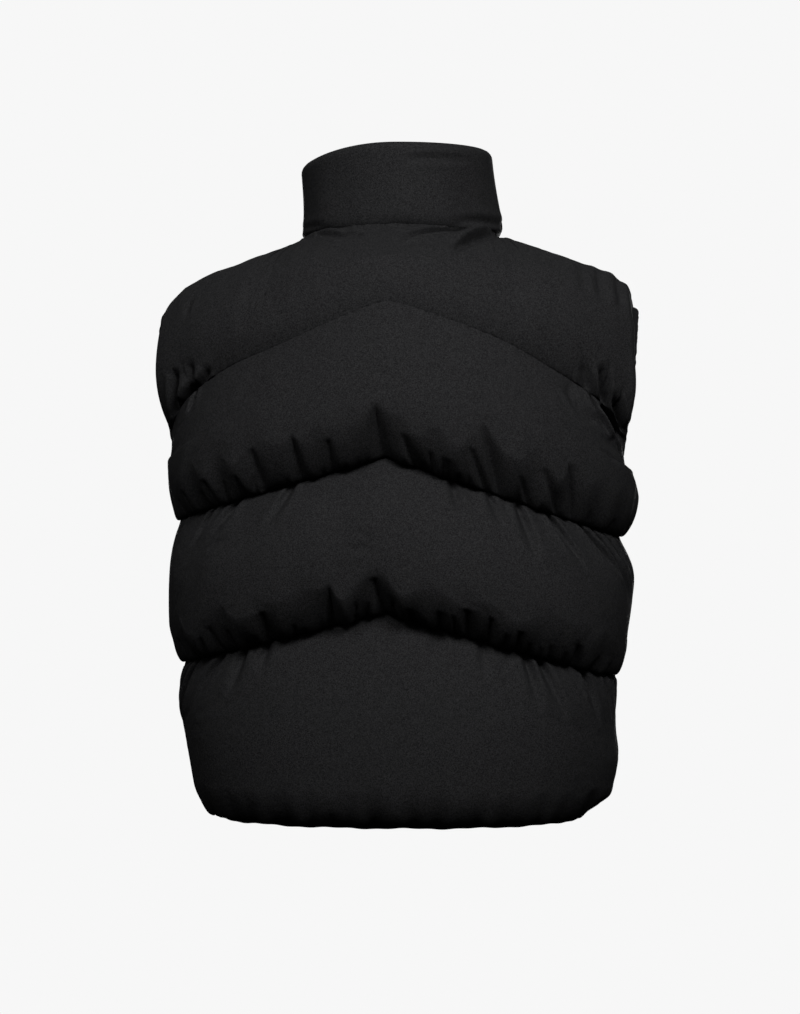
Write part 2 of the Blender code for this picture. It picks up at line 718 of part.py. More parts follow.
def make_teeth(material):
    """The closed row of teeth, as one bar on the front of the tapes up to the slider."""
    path = zip_path()
    top = SLIDER_HEIGHT_AT - SLIDER_HALF_HEIGHT - GAP / MM
    below = path[path[:, 2] < top - 1]
    end = np.array((0.0, zip_y(path, top), top))
    path = np.concatenate([below, end[None]])
    out = zip_outwards(path)
    across = np.tile((1.0, 0.0, 0.0), (len(path), 1))
    profile = (
        (-TEETH_HALF_WIDTH, TEETH_BACK),
        (TEETH_HALF_WIDTH, TEETH_BACK),
        (TEETH_HALF_WIDTH, TEETH_FRONT - TEETH_CHAMFER),
        (TEETH_HALF_WIDTH - TEETH_CHAMFER, TEETH_FRONT),
        (TEETH_CHAMFER - TEETH_HALF_WIDTH, TEETH_FRONT),
        (-TEETH_HALF_WIDTH, TEETH_FRONT - TEETH_CHAMFER),
    )
    carried_profile("zip_teeth", path, across, out, profile, False, material)


def box_solid(name, low, high, material):
    """A block between two corners in millimetres, from a unit cube, its scale in its mesh."""
    bpy.ops.mesh.primitive_cube_add(size=1)
    block = bpy.context.object
    block.name = name
    low = np.array(low) * MM
    high = np.array(high) * MM
    for vertex in block.data.vertices:
        vertex.co = low + (np.array(vertex.co) + 0.5) * (high - low)
    block.data.materials.append(material)
    return block


def bridge_solid(name, y_face, height, material):
    """The slider's bridge: half an ellipse standing on the front plate, with the hole under it
    that the pull tab's bar turns in."""
    turns = np.linspace(0, math.pi, BRIDGE_STEPS + 1)
    outlines = []
    for half_height, reach in (BRIDGE_OUTER, BRIDGE_INNER):
        lift = np.sin(turns) ** BRIDGE_SQUARENESS * reach
        outlines.append(np.stack([y_face - lift, height - half_height * np.cos(turns)], axis=1))
    outer, inner = outlines
    outer[[0, -1], 0] += SLIDER_JOIN
    inner[[0, -1], 0] += SLIDER_JOIN
    ring = np.concatenate([outer, inner[::-1]])
    corners = len(ring)
    low = np.column_stack([np.full(corners, -BRIDGE_HALF_WIDTH), ring])
    high = np.column_stack([np.full(corners, BRIDGE_HALF_WIDTH), ring])
    faces = []
    for number in range(BRIDGE_STEPS):
        across = (number, number + 1, corners - 2 - number, corners - 1 - number)
        faces.append(across)
        faces.append(tuple(corner + corners for corner in across[::-1]))
    for number in range(corners):
        beside = (number + 1) % corners
        faces.append((number, number + corners, beside + corners, beside))
    return add_mesh(name, np.concatenate([low, high]) * MM, faces, material)


def make_slider(cutters, material):
    """Front plate, back plate, the post between them and the bridge, joined into one body."""
    y_zip = zip_y(zip_path(), SLIDER_HEIGHT_AT)
    low = SLIDER_HEIGHT_AT - SLIDER_HALF_HEIGHT
    high = SLIDER_HEIGHT_AT + SLIDER_HALF_HEIGHT
    plate = box_solid(
        "zip_slider",
        (-SLIDER_HALF_WIDTH, y_zip - SLIDER_PLATE[1], low),
        (SLIDER_HALF_WIDTH, y_zip - SLIDER_PLATE[0], high),
        material,
    )
    back = box_solid(
        "slider_back_plate",
        (-SLIDER_HALF_WIDTH, y_zip - SLIDER_BACK_PLATE[1], low),
        (SLIDER_HALF_WIDTH, y_zip - SLIDER_BACK_PLATE[0], high),
        material,
    )
    post = box_solid(
        "slider_post",
        (
            -SLIDER_POST_HALF_WIDTH,
            y_zip - SLIDER_PLATE[0] - SLIDER_JOIN,
            SLIDER_HEIGHT_AT + SLIDER_POST_SPAN[0],
        ),
        (
            SLIDER_POST_HALF_WIDTH,
            y_zip - SLIDER_BACK_PLATE[1] + SLIDER_JOIN,
            SLIDER_HEIGHT_AT + SLIDER_POST_SPAN[1],
        ),
        material,
    )
    bridge = bridge_solid("slider_bridge", y_zip - SLIDER_PLATE[1], SLIDER_HEIGHT_AT, material)
    for tool in (post, back, bridge):
        join = plate.modifiers.new(f"join {tool.name}", "BOOLEAN")
        join.operation = "UNION"
        join.object = tool
        move_to(cutters, tool)
        tool.hide_render = True
        tool.display_type = "WIRE"
    return plate


def rounded_corners(low, high, radius, steps):
    """The corners of a rectangle in x and z, each turned into a short arc."""
    points = []
    middles = (
        (high[0] - radius, high[1] - radius, 0),
        (low[0] + radius, high[1] - radius, 90),
        (low[0] + radius, low[1] + radius, 180),
        (high[0] - radius, low[1] + radius, 270),
    )
    for x, z, start in middles:
        for number in range(steps + 1):
            turn = math.radians(start + 90 * number / steps)
            points.append((x + radius * math.cos(turn), z + radius * math.sin(turn)))
    return points


def make_pull_tab(material):
    """A flat tab with a window at its top. Its origin is on its hinge axis, and its top bar
    turns under the slider's bridge."""
    outline = bpy.data.curves.new("zip_pull_tab", "CURVE")
    outline.dimensions = "2D"
    outline.fill_mode = "BOTH"
    outline.extrude = TAB_HALF_THICK * MM
    loops = (
        rounded_corners((-TAB_HALF_WIDTH, -TAB_LENGTH), (TAB_HALF_WIDTH, TAB_TOP), TAB_CORNER, 3),
        rounded_corners(
            (-TAB_WINDOW_HALF_WIDTH, -TAB_WINDOW[1]),
            (TAB_WINDOW_HALF_WIDTH, -TAB_WINDOW[0]),
            TAB_WINDOW_CORNER,
            2,
        ),
    )
    for loop in loops:
        spline = outline.splines.new("POLY")
        spline.points.add(len(loop) - 1)
        for point, (x, z) in zip(spline.points, loop):
            point.co = (x * MM, z * MM, 0, 1)
        spline.use_cyclic_u = True
    tab = bpy.data.objects.new("zip_pull_tab", outline)
    outline.materials.append(material)
    bpy.context.scene.collection.objects.link(tab)
    tab.rotation_euler = (math.radians(90), 0, 0)
    y_zip = zip_y(zip_path(), SLIDER_HEIGHT_AT)
    tab.location = (0, (y_zip - TAB_AXIS_OUT) * MM, SLIDER_HEIGHT_AT * MM)
    return tab


# ---- scene -----------------------------------------------------------------------------------


def add_mesh(name, points, faces, material, closed=True):
    """A mesh object from points in metres; a closed one has its faces turned outwards."""
    mesh = bpy.data.meshes.new(name)
    mesh.from_pydata(np.asarray(points).tolist(), [], faces)
    shape = bmesh.new()
    shape.from_mesh(mesh)
    if closed:
        bmesh.ops.recalc_face_normals(shape, faces=shape.faces)
    shape.to_mesh(mesh)
    shape.free()
    mesh.materials.append(material)
    mesh.shade_smooth()
    made = bpy.data.objects.new(name, mesh)
    bpy.context.scene.collection.objects.link(made)
    return made


def make_material(name, colour, roughness, metallic):
    material = bpy.data.materials.new(name)
    material.use_nodes = True
    shader = material.node_tree.nodes["Principled BSDF"]
    shader.inputs["Base Color"].default_value = colour
    shader.inputs["Roughness"].default_value = roughness
    shader.inputs["Metallic"].default_value = metallic
    return material


def move_to(collection, piece):
    for holder in list(piece.users_collection):
        holder.objects.unlink(piece)
    collection.objects.link(piece)


def main():
    for leftover in list(bpy.data.objects):
        bpy.data.objects.remove(leftover)
    vest = bpy.data.collections.new("puffer_vest")
    cutters = bpy.data.collections.new("cutters")
    for collection in (vest, cutters):
        bpy.context.scene.collection.children.link(collection)

    shell_cloth = make_material("shell_cloth", BLACK_CLOTH, 0.75, 0.0)
    trim_cloth = make_material("trim_cloth", BLACK_TRIM, 0.85, 0.0)
    zip_metal = make_material("zip_metal", BLACK_METAL, 0.35, 0.0)

    make_back(shell_cloth)
    make_collar(shell_cloth)
    make_hem_binding(trim_cloth)
    make_teeth(zip_metal)
    make_slider(cutters, zip_metal)
    make_pull_tab(zip_metal)
    for side, hand in (("left", 1), ("right", -1)):
        make_front(side, hand, shell_cloth)
        make_armhole_binding(side, hand, trim_cloth)
        make_tape(side, hand, trim_cloth)

    for piece in list(bpy.context.scene.collection.objects):
        move_to(vest, piece)


main()
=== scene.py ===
"""A cropped puffer vest on its worn, hollow form, finished in matte black woven cloth.

The wearer faces -Y and +X is the wearer's left. Sizes are in millimetres until a mesh is made.

Each panel is a surface of two numbers. s runs from 0 at the panel's centre line to 1 at its outer
edge: the side seam, then the armhole. v counts the sewn lines: 0 is the hem, 1 to 3 are the
quilting lines and 4 is the neck seam and the shoulder seam. A baffle lies between two lines.
"""

import math
from collections import namedtuple

import bpy
import numpy as np
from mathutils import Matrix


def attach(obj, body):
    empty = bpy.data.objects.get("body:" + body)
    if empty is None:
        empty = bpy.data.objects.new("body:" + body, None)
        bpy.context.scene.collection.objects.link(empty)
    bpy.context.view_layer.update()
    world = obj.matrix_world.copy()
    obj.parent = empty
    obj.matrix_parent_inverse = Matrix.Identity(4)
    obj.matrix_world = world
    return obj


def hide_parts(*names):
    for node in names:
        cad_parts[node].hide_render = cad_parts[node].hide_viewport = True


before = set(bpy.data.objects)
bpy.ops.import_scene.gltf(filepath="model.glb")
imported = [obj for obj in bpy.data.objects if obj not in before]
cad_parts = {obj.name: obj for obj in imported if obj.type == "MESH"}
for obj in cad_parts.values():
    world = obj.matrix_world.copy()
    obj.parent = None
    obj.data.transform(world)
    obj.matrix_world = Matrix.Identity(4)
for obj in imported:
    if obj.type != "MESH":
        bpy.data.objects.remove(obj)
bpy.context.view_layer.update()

MM = 0.001


def table(kind, *rows):
    return tuple(kind(*row) for row in rows)


def tables(kind, groups):
    return {name: table(kind, *rows) for name, rows in groups.items()}


# ---- the sewn form

Centre = namedtuple("Centre", "v depth height")
CENTRE_ROWS = tables(
    Centre,
    {
        "back": (
            (0, 122, -498), (1, 131, -326), (2, 134, -196), (3, 120, -64),
        ),
        "front": (
            (0, 118, -498), (1, 125, -348), (2, 128, -228), (3, 112, -122),
        ),
    },
)
DEPTHWISE = {"back": 1, "front": -1}

# lean is how much higher the left end of a line is than the right, halved.
Side = namedtuple("Side", "v half_width height lean")
SIDE_ROWS = table(
    Side,
    (0, 164, -498, 0), (1, 187, -380, 5), (2, 191, -257, 7), (2.45, 191.5, -209, 4),
)
UNDERARM_V = 2.45
UPPER_LINE_V = 3
TOP_V = 4

Armhole = namedtuple("Armhole", "middle_height half_height half_depth line_turn")
ARMHOLE = Armhole(-133, 76, 52, math.radians(71.6))
ARMHOLE_TURN_POWER = 0.8
UNDERARM_EASE = 0.3
ARMHOLE_HALF_WIDTH_AT_LINE = 197.5
ARMHOLE_LEAN_AT_LINE = 3

# How much lower down the cloth the upper quilting line is sewn, as a share of a baffle's height,
# at each place from the centre line outwards.
LineDrop = namedtuple("LineDrop", "s left right")
LINE_DROPS = tables(
    LineDrop,
    {
        "back": (
            (0, 0.02, 0.02), (0.3, 0.055, 0.012), (0.55, 0.04, 0.035), (0.8, 0.055, 0.045),
            (1, 0.12, 0.12),
        ),
        "front": (
            (0, 0, 0), (0.5, 0, 0), (0.8, 0.04, 0.04), (1, 0.12, 0.12),
        ),
    },
)

ROUNDNESS = 2.3  # the superellipse power of every row round the torso
ZIP_EDGE = 7.5

NECK_HALF_WIDTH = 84
NECK_DEPTH = (80, 84)  # a pair is of the back and the front, or of the left and the right
NECK_HEIGHT = (3, -48)
NECK_SIDE_HEIGHT = -3
NECK_RISE_POWER = 2
NECK_SHARE = 0.5
NECK_POINT_TURN = math.radians(94)
FRONT_NECK_TURN = math.pi - math.asin(ZIP_EDGE / NECK_HALF_WIDTH)
NECK_LEAN = (0.45, 0.35)
NECK_SIDE_LEAN = 0.91
SHOULDER_TIP = np.array((204.0, -4.0, -64.0))
SHOULDER_DROP_POWER = 1.1
CORNER_REACH = 0.25
CORNER_PLACES = 9
PAST_NECK = 0.3
YOKE_REACH = (0.9, 1.25)

SEAM_OUT = 3.0
SEAM_IN = 2.0
INNER_PUFF = 5.0
LINING_EDGE = 24

# ---- the padding: puff at the centre and near the left and right sides, where it is fullest, how
# ---- far the lower roll hangs over its seam at the centre and at the sides, and how wide the
# ---- rounding of the outer edges is

Baffle = namedtuple("Baffle", "centre left right fullest side_fullest sag_centre sag_side edge")
BAFFLES = tables(
    Baffle,
    {
        "back": (
            (30, 9, 9, 0.18, 0.24, 13, 11, 24), (35, 11, 11, 0.24, 0.34, 6, 3, 24),
            (33, 11, 11, 0.24, 0.36, 6, 3, 22), (18.5, 14, 18, 0.4, 0.4, 0.5, 6, 12),
        ),
        "front": (
            (28, 9, 9, 0.18, 0.24, 9, 9, 24), (32, 11, 11, 0.24, 0.34, 6, 3, 24),
            (30, 11, 11, 0.24, 0.36, 6, 3, 22), (18, 14, 18, 0.36, 0.4, 1, 3, 12),
        ),
    },
)
ZIP_EDGE_ROUNDING = 24

# How unevenly each baffle, from the hem up, is filled: how much the height of its underside, its
# puff and its hanging edge vary, and where its lower roll ends (short of 1, the roll turns over in
# a soft crease where it is fullest). square is how much of the roll at the centre is a quarter
# ellipse, the rest being a sine. At the sides that share is ROLL_SQUARENESS. The higher sag_power
# is, the nearer to the sides the roll starts to hang as it does there.
Unevenness = namedtuple("Unevenness", "band lobes scallops roll_end square sag_power")
UNEVENNESS = table(
    Unevenness,
    (0.1, 0.02, 0.16, 0.95, 0.4, 1), (0.24, 0.07, 0.35, 0.78, 0.4, 1),
    (0.24, 0.07, 0.35, 0.78, 0.4, 1), (0.04, 0.02, 0.3, 1.00, 0.0, 2),
)
ROLL_AT = 0.06  # where on a baffle's height its lower roll hangs the most
ROLL_SQUARENESS = 0.4
ROLL_END = 0.78
UPPER_FLATNESS = 2.2
YOKE_FLATNESS = (0.8, 2.4)  # at its centre and near the armhole
YOKE_FLAT_TO = 0.75
LOBE_REACH = 40  # how far up a baffle its lobes reach
LINE_STEEPNESS = 30  # a line stands out past its seam by at most this, times the fullness
FULLEST_WITHIN = (0.1, 0.85)  # the shares of its height that a baffle can be fullest at

# ---- how much more padding the vest has near its two sides, by height, and how much higher or
# ---- lower the top of the yoke is, by the distance from the centre line

Trim = namedtuple("Trim", "height left right")
TRIMS = table(
    Trim,
    (-520, -6, -28), (-498, -4, -18), (-478, -3, 7), (-455, -4, 6.5), (-430, -3, 0),
    (-405, 1, -2.5), (-380, 2, 2.5), (-350, -5, -2.5), (-320, -4.5, 1), (-285, -1.5, 8),
    (-262, 0, 8), (-235, -7, 5), (-205, -5, 2), (-175, -3, -2), (-145, 2, 2), (-110, 0, -4.5),
    (-70, -2, -1), (-45, 3, 10),
)
TRIM_FROM = 0.62  # a trim grows from nothing here to all of it there, on the way to the side
TRIM_TO = 0.92
YOKE_TRIM_RISE = 1.6
YokeTrim = namedtuple("YokeTrim", "across left right")
YOKE_TRIMS = table(
    YokeTrim,
    (0, 1, 1), (60, 0.5, 1), (74, 0, 1.5), (84, -0.5, 2), (92, -3.5, 1), (102, -6.5, -1.5),
    (115, -7.5, -1.5), (138, -6.5, 0.5), (160, -0.5, 4.5), (188, 3, 9), (205, -2, 8),
)

# The cloth of the yoke bunches up over the foot of the collar in one peak.
Peak = namedtuple("Peak", "across wide tall out reach")
NECK_PEAK = Peak(-72, 9, 5.5, 3.5, 9)
# It is also uneven there within this distance from the centre line.
Ruffle = namedtuple("Ruffle", "tall within fade")
NECK_RUFFLE = Ruffle(0.7, 95, 20)

# ---- how far out of the sewn form each quilting line lies at the centre and at the sides, and up
# ---- to which part of the way to the side the centre's value reaches

Line = namedtuple("Line", "centre side reach")
LINES = {
    "back": (Line(4, 3, 1), Line(4, 3, 1), Line(4, 3, 1), Line(19, 3, 0.97), Line(3, 3, 1)),
    "front": (Line(4, 3, 1), Line(4, 3, 1), Line(4, 3, 1), Line(9, 3, 0.95), Line(3, 3, 1)),
}

# ---- uneven waves along a line, and the seeds of the chance in them

Wave = namedtuple("Wave", "spacing count")
BAND_WAVES = Wave(38, 5)
LOBE_WAVES = Wave(42, 4)
SCALLOP_WAVES = Wave(26, 4)
CRIMP_WAVES = Wave(7, 5)
RUFFLE_WAVES = Wave(21, 4)
COLLAR_WAVES = Wave(60, 5)
BINDING_WAVES = Wave(11, 5)
HEM_WAVES = Wave(34, 5)
WAVE_LENGTHS = (0.6, 1.9)
WAVE_CALM = 1.2
SEEDS = {"small gathers": 50, "collar": 7, "armholes": 20, "hem": 31}

# ---- gathers over a line: across is millimetres from the centre line, + to the wearer's left;
# ---- tall is how far it runs up the baffle, wide its half width, deep the part of the puff that
# ---- it takes away, and slant how far it moves sideways for each millimetre of its height

Gather = namedtuple("Gather", "across tall wide deep slant place", defaults=(0,))
BELL_FOOT = 1.1  # a gather's width at its line, in its own wide, less the narrowing at its tip
BELL_NARROWING = 0.75
BELL_POWER = 1.6
INNER_STEEPNESS = 0.5
TROUGH_SHARE = 0.7
FLAME_SPREAD = 1.6
SMALL_GATHER_SPANS = ((6.0, 13.0), (9, 20), (3, 5), (0.35, 0.6))  # spacing, tall, wide, deep
SMALL_GATHERS_TO = 188.0
SMALL_GATHER_CLEAR = 6
SMALL_GATHER_SLANT = 0.2
YOKE_EVEN_TO = 140  # how far from the centre line the yoke has no small gathers
RIGHT_FRONT_PLACES = (3, 0.96)  # the right front's gathers are the left's, moved and closer
CREASE_DEPTH = 3.1
CREASE_REACH = 1.5
CREASE_FOOT = 0.7  # a crease's width at its line, in its own wide, plus the spread at its end
CREASE_SPREAD = 0.5
CREASE_RIDGES = 1.1
CREASE_FADE = 0.8
CREASE_START = 4
FOLD_SOFTNESS = 1.6  # how slowly a crease or fold and its ridges fade sideways
FOLD_ENDS = 0.25
FOLD_START = 2.5  # how far from the upper seam a fold is full
RAISED_BY = 0.7
GATHER_TIP = {"back": 0.3, "front": 0.9}  # how gradually the roll's turned-under stretch ends
CRIMP = 0.35
CRIMP_REACH = 6

GATHERS = tables(
    Gather,
    {
        1: (
            (169, 22, 5, 0.55, 0.3), (152, 18, 5, 0.5, -0.4), (137, 24, 6, 0.6, 0.1),
            (124, 20, 4, 0.7, 0.0), (94, 26, 9, 0.75, 0.0), (42, 38, 9, 0.5, 0.0),
            (0, 34, 7, 0.6, 0.25), (-43, 18, 6, 0.45, 0.0), (-66, 26, 9, 0.7, 0.1),
            (-81, 24, 5, 0.45, 0.0), (-93, 16, 5, 0.45, 0.0), (-104, 20, 4, 0.7, 0.1),
            (-150, 20, 6, 0.75, 0.3), (-163, 14, 5, 0.45, 0.0),
        ),
        2: (
            (174, 16, 4, 0.55, 0.0), (164, 20, 4, 0.45, 0.0), (141, 22, 4, 0.75, 0.1),
            (117, 18, 5, 0.5, 0.0), (99, 34, 8, 0.45, 0.1), (67, 38, 8, 0.6, 0.1),
            (43, 26, 7, 0.5, 0.0), (2, 46, 9, 0.8, 0.1), (-26, 24, 8, 0.75, 0.5),
            (-46, 18, 5, 0.5, 0.0), (-82, 30, 6, 0.6, 0.6), (-92, 52, 8, 0.6, 0.4),
            (-116, 22, 6, 0.6, 0.7), (-138, 32, 6, 0.55, 0.7), (-150, 42, 6, 0.75, 0.4),
            (-162, 16, 5, 0.45, 0.4), (-176, 14, 8, 0.55, 0.0),
        ),
        3: (
            (180, 30, 6, 0.65, 0.0), (169, 28, 7, 0.6, 0.2), (159, 16, 5, 0.4, 0.0),
            (-164, 34, 10, 0.45, 0.4), (-178, 32, 6, 0.65, 0.1), (-186, 26, 5, 0.6, 0.0),
        ),
    },
)
FRONT_GATHERS = tables(
    Gather,
    {
        1: (
            (28, 26, 6, 0.55, 0.1), (52, 34, 8, 0.65, 0.2), (79, 20, 5, 0.5, 0.0),
            (101, 38, 8, 0.6, -0.1), (128, 24, 5, 0.6, 0.2), (146, 30, 6, 0.55, 0.1),
            (166, 18, 5, 0.55, 0.0),
        ),
        2: (
            (24, 30, 6, 0.6, -0.1), (46, 22, 5, 0.5, 0.0), (70, 44, 8, 0.65, 0.2),
            (92, 20, 5, 0.5, 0.1), (114, 36, 7, 0.6, 0.2), (139, 24, 5, 0.65, 0.3),
            (158, 30, 6, 0.55, 0.2), (174, 16, 5, 0.5, 0.0),
        ),
        3: (
            (30, 20, 6, 0.4, 0.0), (64, 28, 8, 0.45, 0.1), (103, 22, 6, 0.5, 0.1),
            (136, 34, 8, 0.55, 0.2), (163, 26, 6, 0.6, 0.2), (180, 20, 6, 0.55, 0.0),
        ),
    },
)

# ---- creases under a line, on the top of the baffle below it; deep is in millimetres here

GATHERS_BELOW = tables(
    Gather,
    {
        1: (
            (165, 26, 3.5, 1.8, 0.9), (156, 34, 3.5, 2.2, 0.8), (147, 40, 4, 2.4, 0.7),
            (122, 30, 6, 1.8, 0.8), (105, 28, 6, 1.8, 0.2), (86, 16, 5, 1.6, 0.2),
            (-35, 22, 7, 1.4, 0.0), (-66, 22, 6, 1.6, -0.1), (-96, 30, 5, 1.8, -0.2),
            (-106, 34, 6, 2.0, -0.4), (-140, 30, 5, 2.0, -0.3), (-160, 26, 5, 2.2, -0.3),
            (-172, 22, 4, 2.0, -0.3), (-181, 16, 4, 2.0, -0.3),
        ),
        2: (
            (174, 16, 4, 2.0, 0.3), (145, 20, 4, 2.2, 0.5), (124, 22, 6, 2.2, 0.6),
            (76, 24, 6, 1.8, 0.5), (-52, 22, 5, 1.6, -0.2), (-81, 18, 5, 1.8, -0.3),
            (-104, 34, 6, 2.2, -0.2), (-128, 28, 5, 2.4, -0.6), (-153, 26, 4, 2.4, -0.9),
            (-163, 34, 3.5, 2.6, -0.7), (-172, 34, 3.5, 2.6, -0.6), (-181, 28, 3.5, 2.4, -0.5),
        ),
        3: (
            (176, 14, 5, 2.2, 0.0), (-178, 20, 6, 2.6, -0.3), (-188, 26, 5, 3.0, -0.2),
        ),
    },
)

# ---- single folds of the back, by baffle, from one place to another: x across, z up

Fold = namedtuple("Fold", "from_x from_z to_x to_z bow wide deep")
FOLDS = tables(
    Fold,
    {
        2: (
            (-152, -133, -172, -168, -5, 7, 4.0), (-181, -150, -195, -176, 1, 5, 9.5),
            (-174, -152, -186, -178, 2, 3.5, -2.5),
        ),
        3: (
            (168, -130, 186, -157, -1, 4.5, 10.0), (157, -119, 165, -134, 0, 4, 5.5),
            (173, -114, 172, -134, 0, 4, 4.5), (188, -122, 190, -154, 0, 4, 8.0),
            (-180, -120, -182, -148, 0, 4, 8.0), (-164, -116, -168, -136, 0, 5, 3.0),
            (-190, -141, -198, -168, 0, 4, 7.0), (-55, -20, -89, -4, 2, 5, 6.0),
            (-54, -11, -82, 1, 1, 4.5, -3.0), (-10, -9, -70, 2, 2, 3.2, 5.5),
            (-14, -14, -60, -6, 2, 3.5, -2.0), (77, -1, 44, 1, 0, 2.8, -2.6),
            (64, -5, 26, -6, 0, 3.2, 3.6), (-161, -34, -166, -56, 0, 5, 2.0),
            (-176, -40, -180, -64, 0, 5, 2.2), (-192, -48, -197, -74, 0, 4, 2.8),
            (-205, -58, -209, -84, 0, 4, 2.8), (176, -60, 180, -72, 0, 3.5, 1.5),
        ),
    },
)

# ---- collar

COLLAR_TOP_HALF_WIDTH = (79.5, 74)
COLLAR_TOP_DEPTH = (72, 84)
COLLAR_TOP_HEIGHT = (69, 28)
COLLAR_SIDE_HEIGHT = (57, 69)
COLLAR_RIGHT_BULGE = 4.5
COLLAR_FOLDS = table(
    Fold,
    (-12, 60, -56, 62, 1, 4, 2.2), (-52, 7, -84, 6, 2, 5, 2.2), (82, 6, 58, 5, 0, 4, 1.0),
)
COLLAR_CLEAR = 0.4
COLLAR_FOOT = 9
COLLAR_HALF_THICKNESS = 8.0
COLLAR_SEAM_HALF = 2.5
COLLAR_FOOT_SHARE = 0.42
COLLAR_FOOT_SQUARENESS = 0.2
COLLAR_END_TAPER = 20
COLLAR_RIPPLE = 0.9
COLLAR_STATIONS = 320
COLLAR_WALL = 50
COLLAR_CAP = 9
COLLAR_CROWDING = 1.3  # how much closer together the rows are near the seam

# ---- bindings, hem strip and zip: folds as (away from the edge, out of the cloth)

ARMHOLE_FOLD = (
    (-0.5, -1.6), (3.6, -2.3), (6.0, -1.4), (7.0, 0.4), (6.2, 2.0), (3.8, 3.1), (-0.5, 2.6),
)
HEM_FOLD = (
    (-0.5, -1.5), (6.0, -1.9), (10.2, -1.0), (11.4, 0.2), (10.2, 1.3), (6.0, 2.2), (-0.5, 1.8),
)
BINDING_THICK = 0.8
BINDING_PUCKER = 0.05
HEM_WAVING = 0.06
ARMHOLE_STITCHES = (1.7, 3.35)
STITCH_STEP = 3.0
STITCH_BEAD = np.array((1.15, 0.22, 0.22)) * (
    (1, 0, -0.6), (0.4, 1, 0), (-0.4, 1, 0), (-1, 0, -0.6), (-0.4, -1, 0), (0.4, -1, 0),
    (0.45, 0, 1), (-0.45, 0, 1), (0, 0, -1),
)
STITCH_FACES = (
    (0, 1, 6), (1, 2, 7, 6), (2, 3, 7), (3, 4, 7), (4, 5, 6, 7), (5, 0, 6),
    (1, 0, 8), (2, 1, 8), (3, 2, 8), (4, 3, 8), (5, 4, 8), (0, 5, 8),
)
TAPE_OUTER = 8.3
TAPE_STITCHES = 6.2
TAPE_INNER = 0.15
TAPE_PARTED = 1.4
TAPE_THICK = 1.2
TAPE_CROWN = 0.12
TAPE_TOP = 27.0
SLIDER_MIDDLE = 15.0
SLIDER_REACH = 6.3
TOOTH_STEP = 2.6
TOOTH_LEVELS = ((0.7, 0), (2.2, 0), (3.05, 0.35))  # height out of the tapes, how far inset
TOOTH_WAISTS = ((-0.9, 0.45, 1), (0.4, 0.62, 0), (3.0, 0.55, -1))  # reach, half width, inwards
TO_RIGHT = np.array((-1.0, 0.0, 0.0))

# ---- how finely the cloth is divided

Fineness = namedtuple("Fineness", "half_columns rows")
FINENESS = {"back": Fineness(192, 97), "front": Fineness(96, 81)}
INNER_EVERY = 8
BAFFLE_SHARP = math.radians(70)
STRIP_SHARP = math.radians(60)

# ---- the cloth settling under the pressure of its filling

CLOTH_SETTINGS = {
    "use_pressure": True,
    "uniform_pressure_force": 4.0,
    "mass": 0.02,
    "tension_stiffness": 20.0,
    "compression_stiffness": 20.0,
    "shear_stiffness": 2.0,
    "bending_stiffness": 0.05,
}
SETTLE_FRAMES = 20
SETTLE_CAP = 8.0


# ==== curves


def smooth_through(knots, values, at):
    """A smooth curve through the rows of a table, read where asked. It never overshoots a row."""
    knots = np.asarray(knots, float)
    values = np.asarray(values, float)
    steps = np.diff(knots)
    rises = np.diff(values) / steps
    slopes = np.empty_like(values)
    slopes[0] = rises[0]
    slopes[-1] = rises[-1]
    before = rises[:-1]
    after = rises[1:]
    turning = before * after <= 0
    slopes[1:-1] = np.where(turning, 0, 2 * before * after / np.where(turning, 1, before + after))
    row = np.clip(np.searchsorted(knots, at, side="right") - 1, 0, len(steps) - 1)
    share = (at - knots[row]) / steps[row]
    return hermite(
        values[row], slopes[row] * steps[row], values[row + 1], slopes[row + 1] * steps[row], share
    )


def hermite(start, leaving, end, arriving, share):
    """The cubic from start to end with these tangents at its ends."""
    square = share * share
    cube = square * share
    return (
        (2 * cube - 3 * square + 1) * start
        + (cube - 2 * square + share) * leaving
        + (3 * square - 2 * cube) * end
        + (cube - square) * arriving
    )


def read(rows, name, at):
    """One column of a table, as a smooth curve over the table's first column."""
    return smooth_through([row[0] for row in rows], [getattr(row, name) for row in rows], at)


def unit(vectors):
    return vectors / np.linalg.norm(vectors, axis=-1, keepdims=True)


def stack(x, y, z):
    return np.stack(np.broadcast_arrays(x, y, z), axis=-1).astype(float)


def tangents(points, closed):
    """Unit tangents of a path of straight lengths: at each corner, midway between its two."""
    steps = np.diff(points, axis=0, append=points[:1])
    if not closed:
        steps[-1] = steps[-2]
    leaving = unit(steps)
    arriving = np.roll(leaving, 1, axis=0)
    if not closed:
        arriving[0] = leaving[0]
    return unit(leaving + arriving)


def resampled(at, run, line):
    """A line of points, each this far along it, read at other lengths."""
    return np.stack([np.interp(at, run, line[:, axis]) for axis in range(3)], axis=1)


def square_to(vectors, along):
    return unit(vectors - along * np.sum(vectors * along, axis=-1, keepdims=True))


def distance_along(points, axis):
    """Running length along one axis of a grid of points."""
    steps = np.linalg.norm(np.diff(points, axis=axis), axis=-1)
    zero = np.zeros_like(np.take(steps, [0], axis=axis))
    return np.concatenate([zero, np.cumsum(steps, axis=axis)], axis=axis)


# ==== the sewn surface


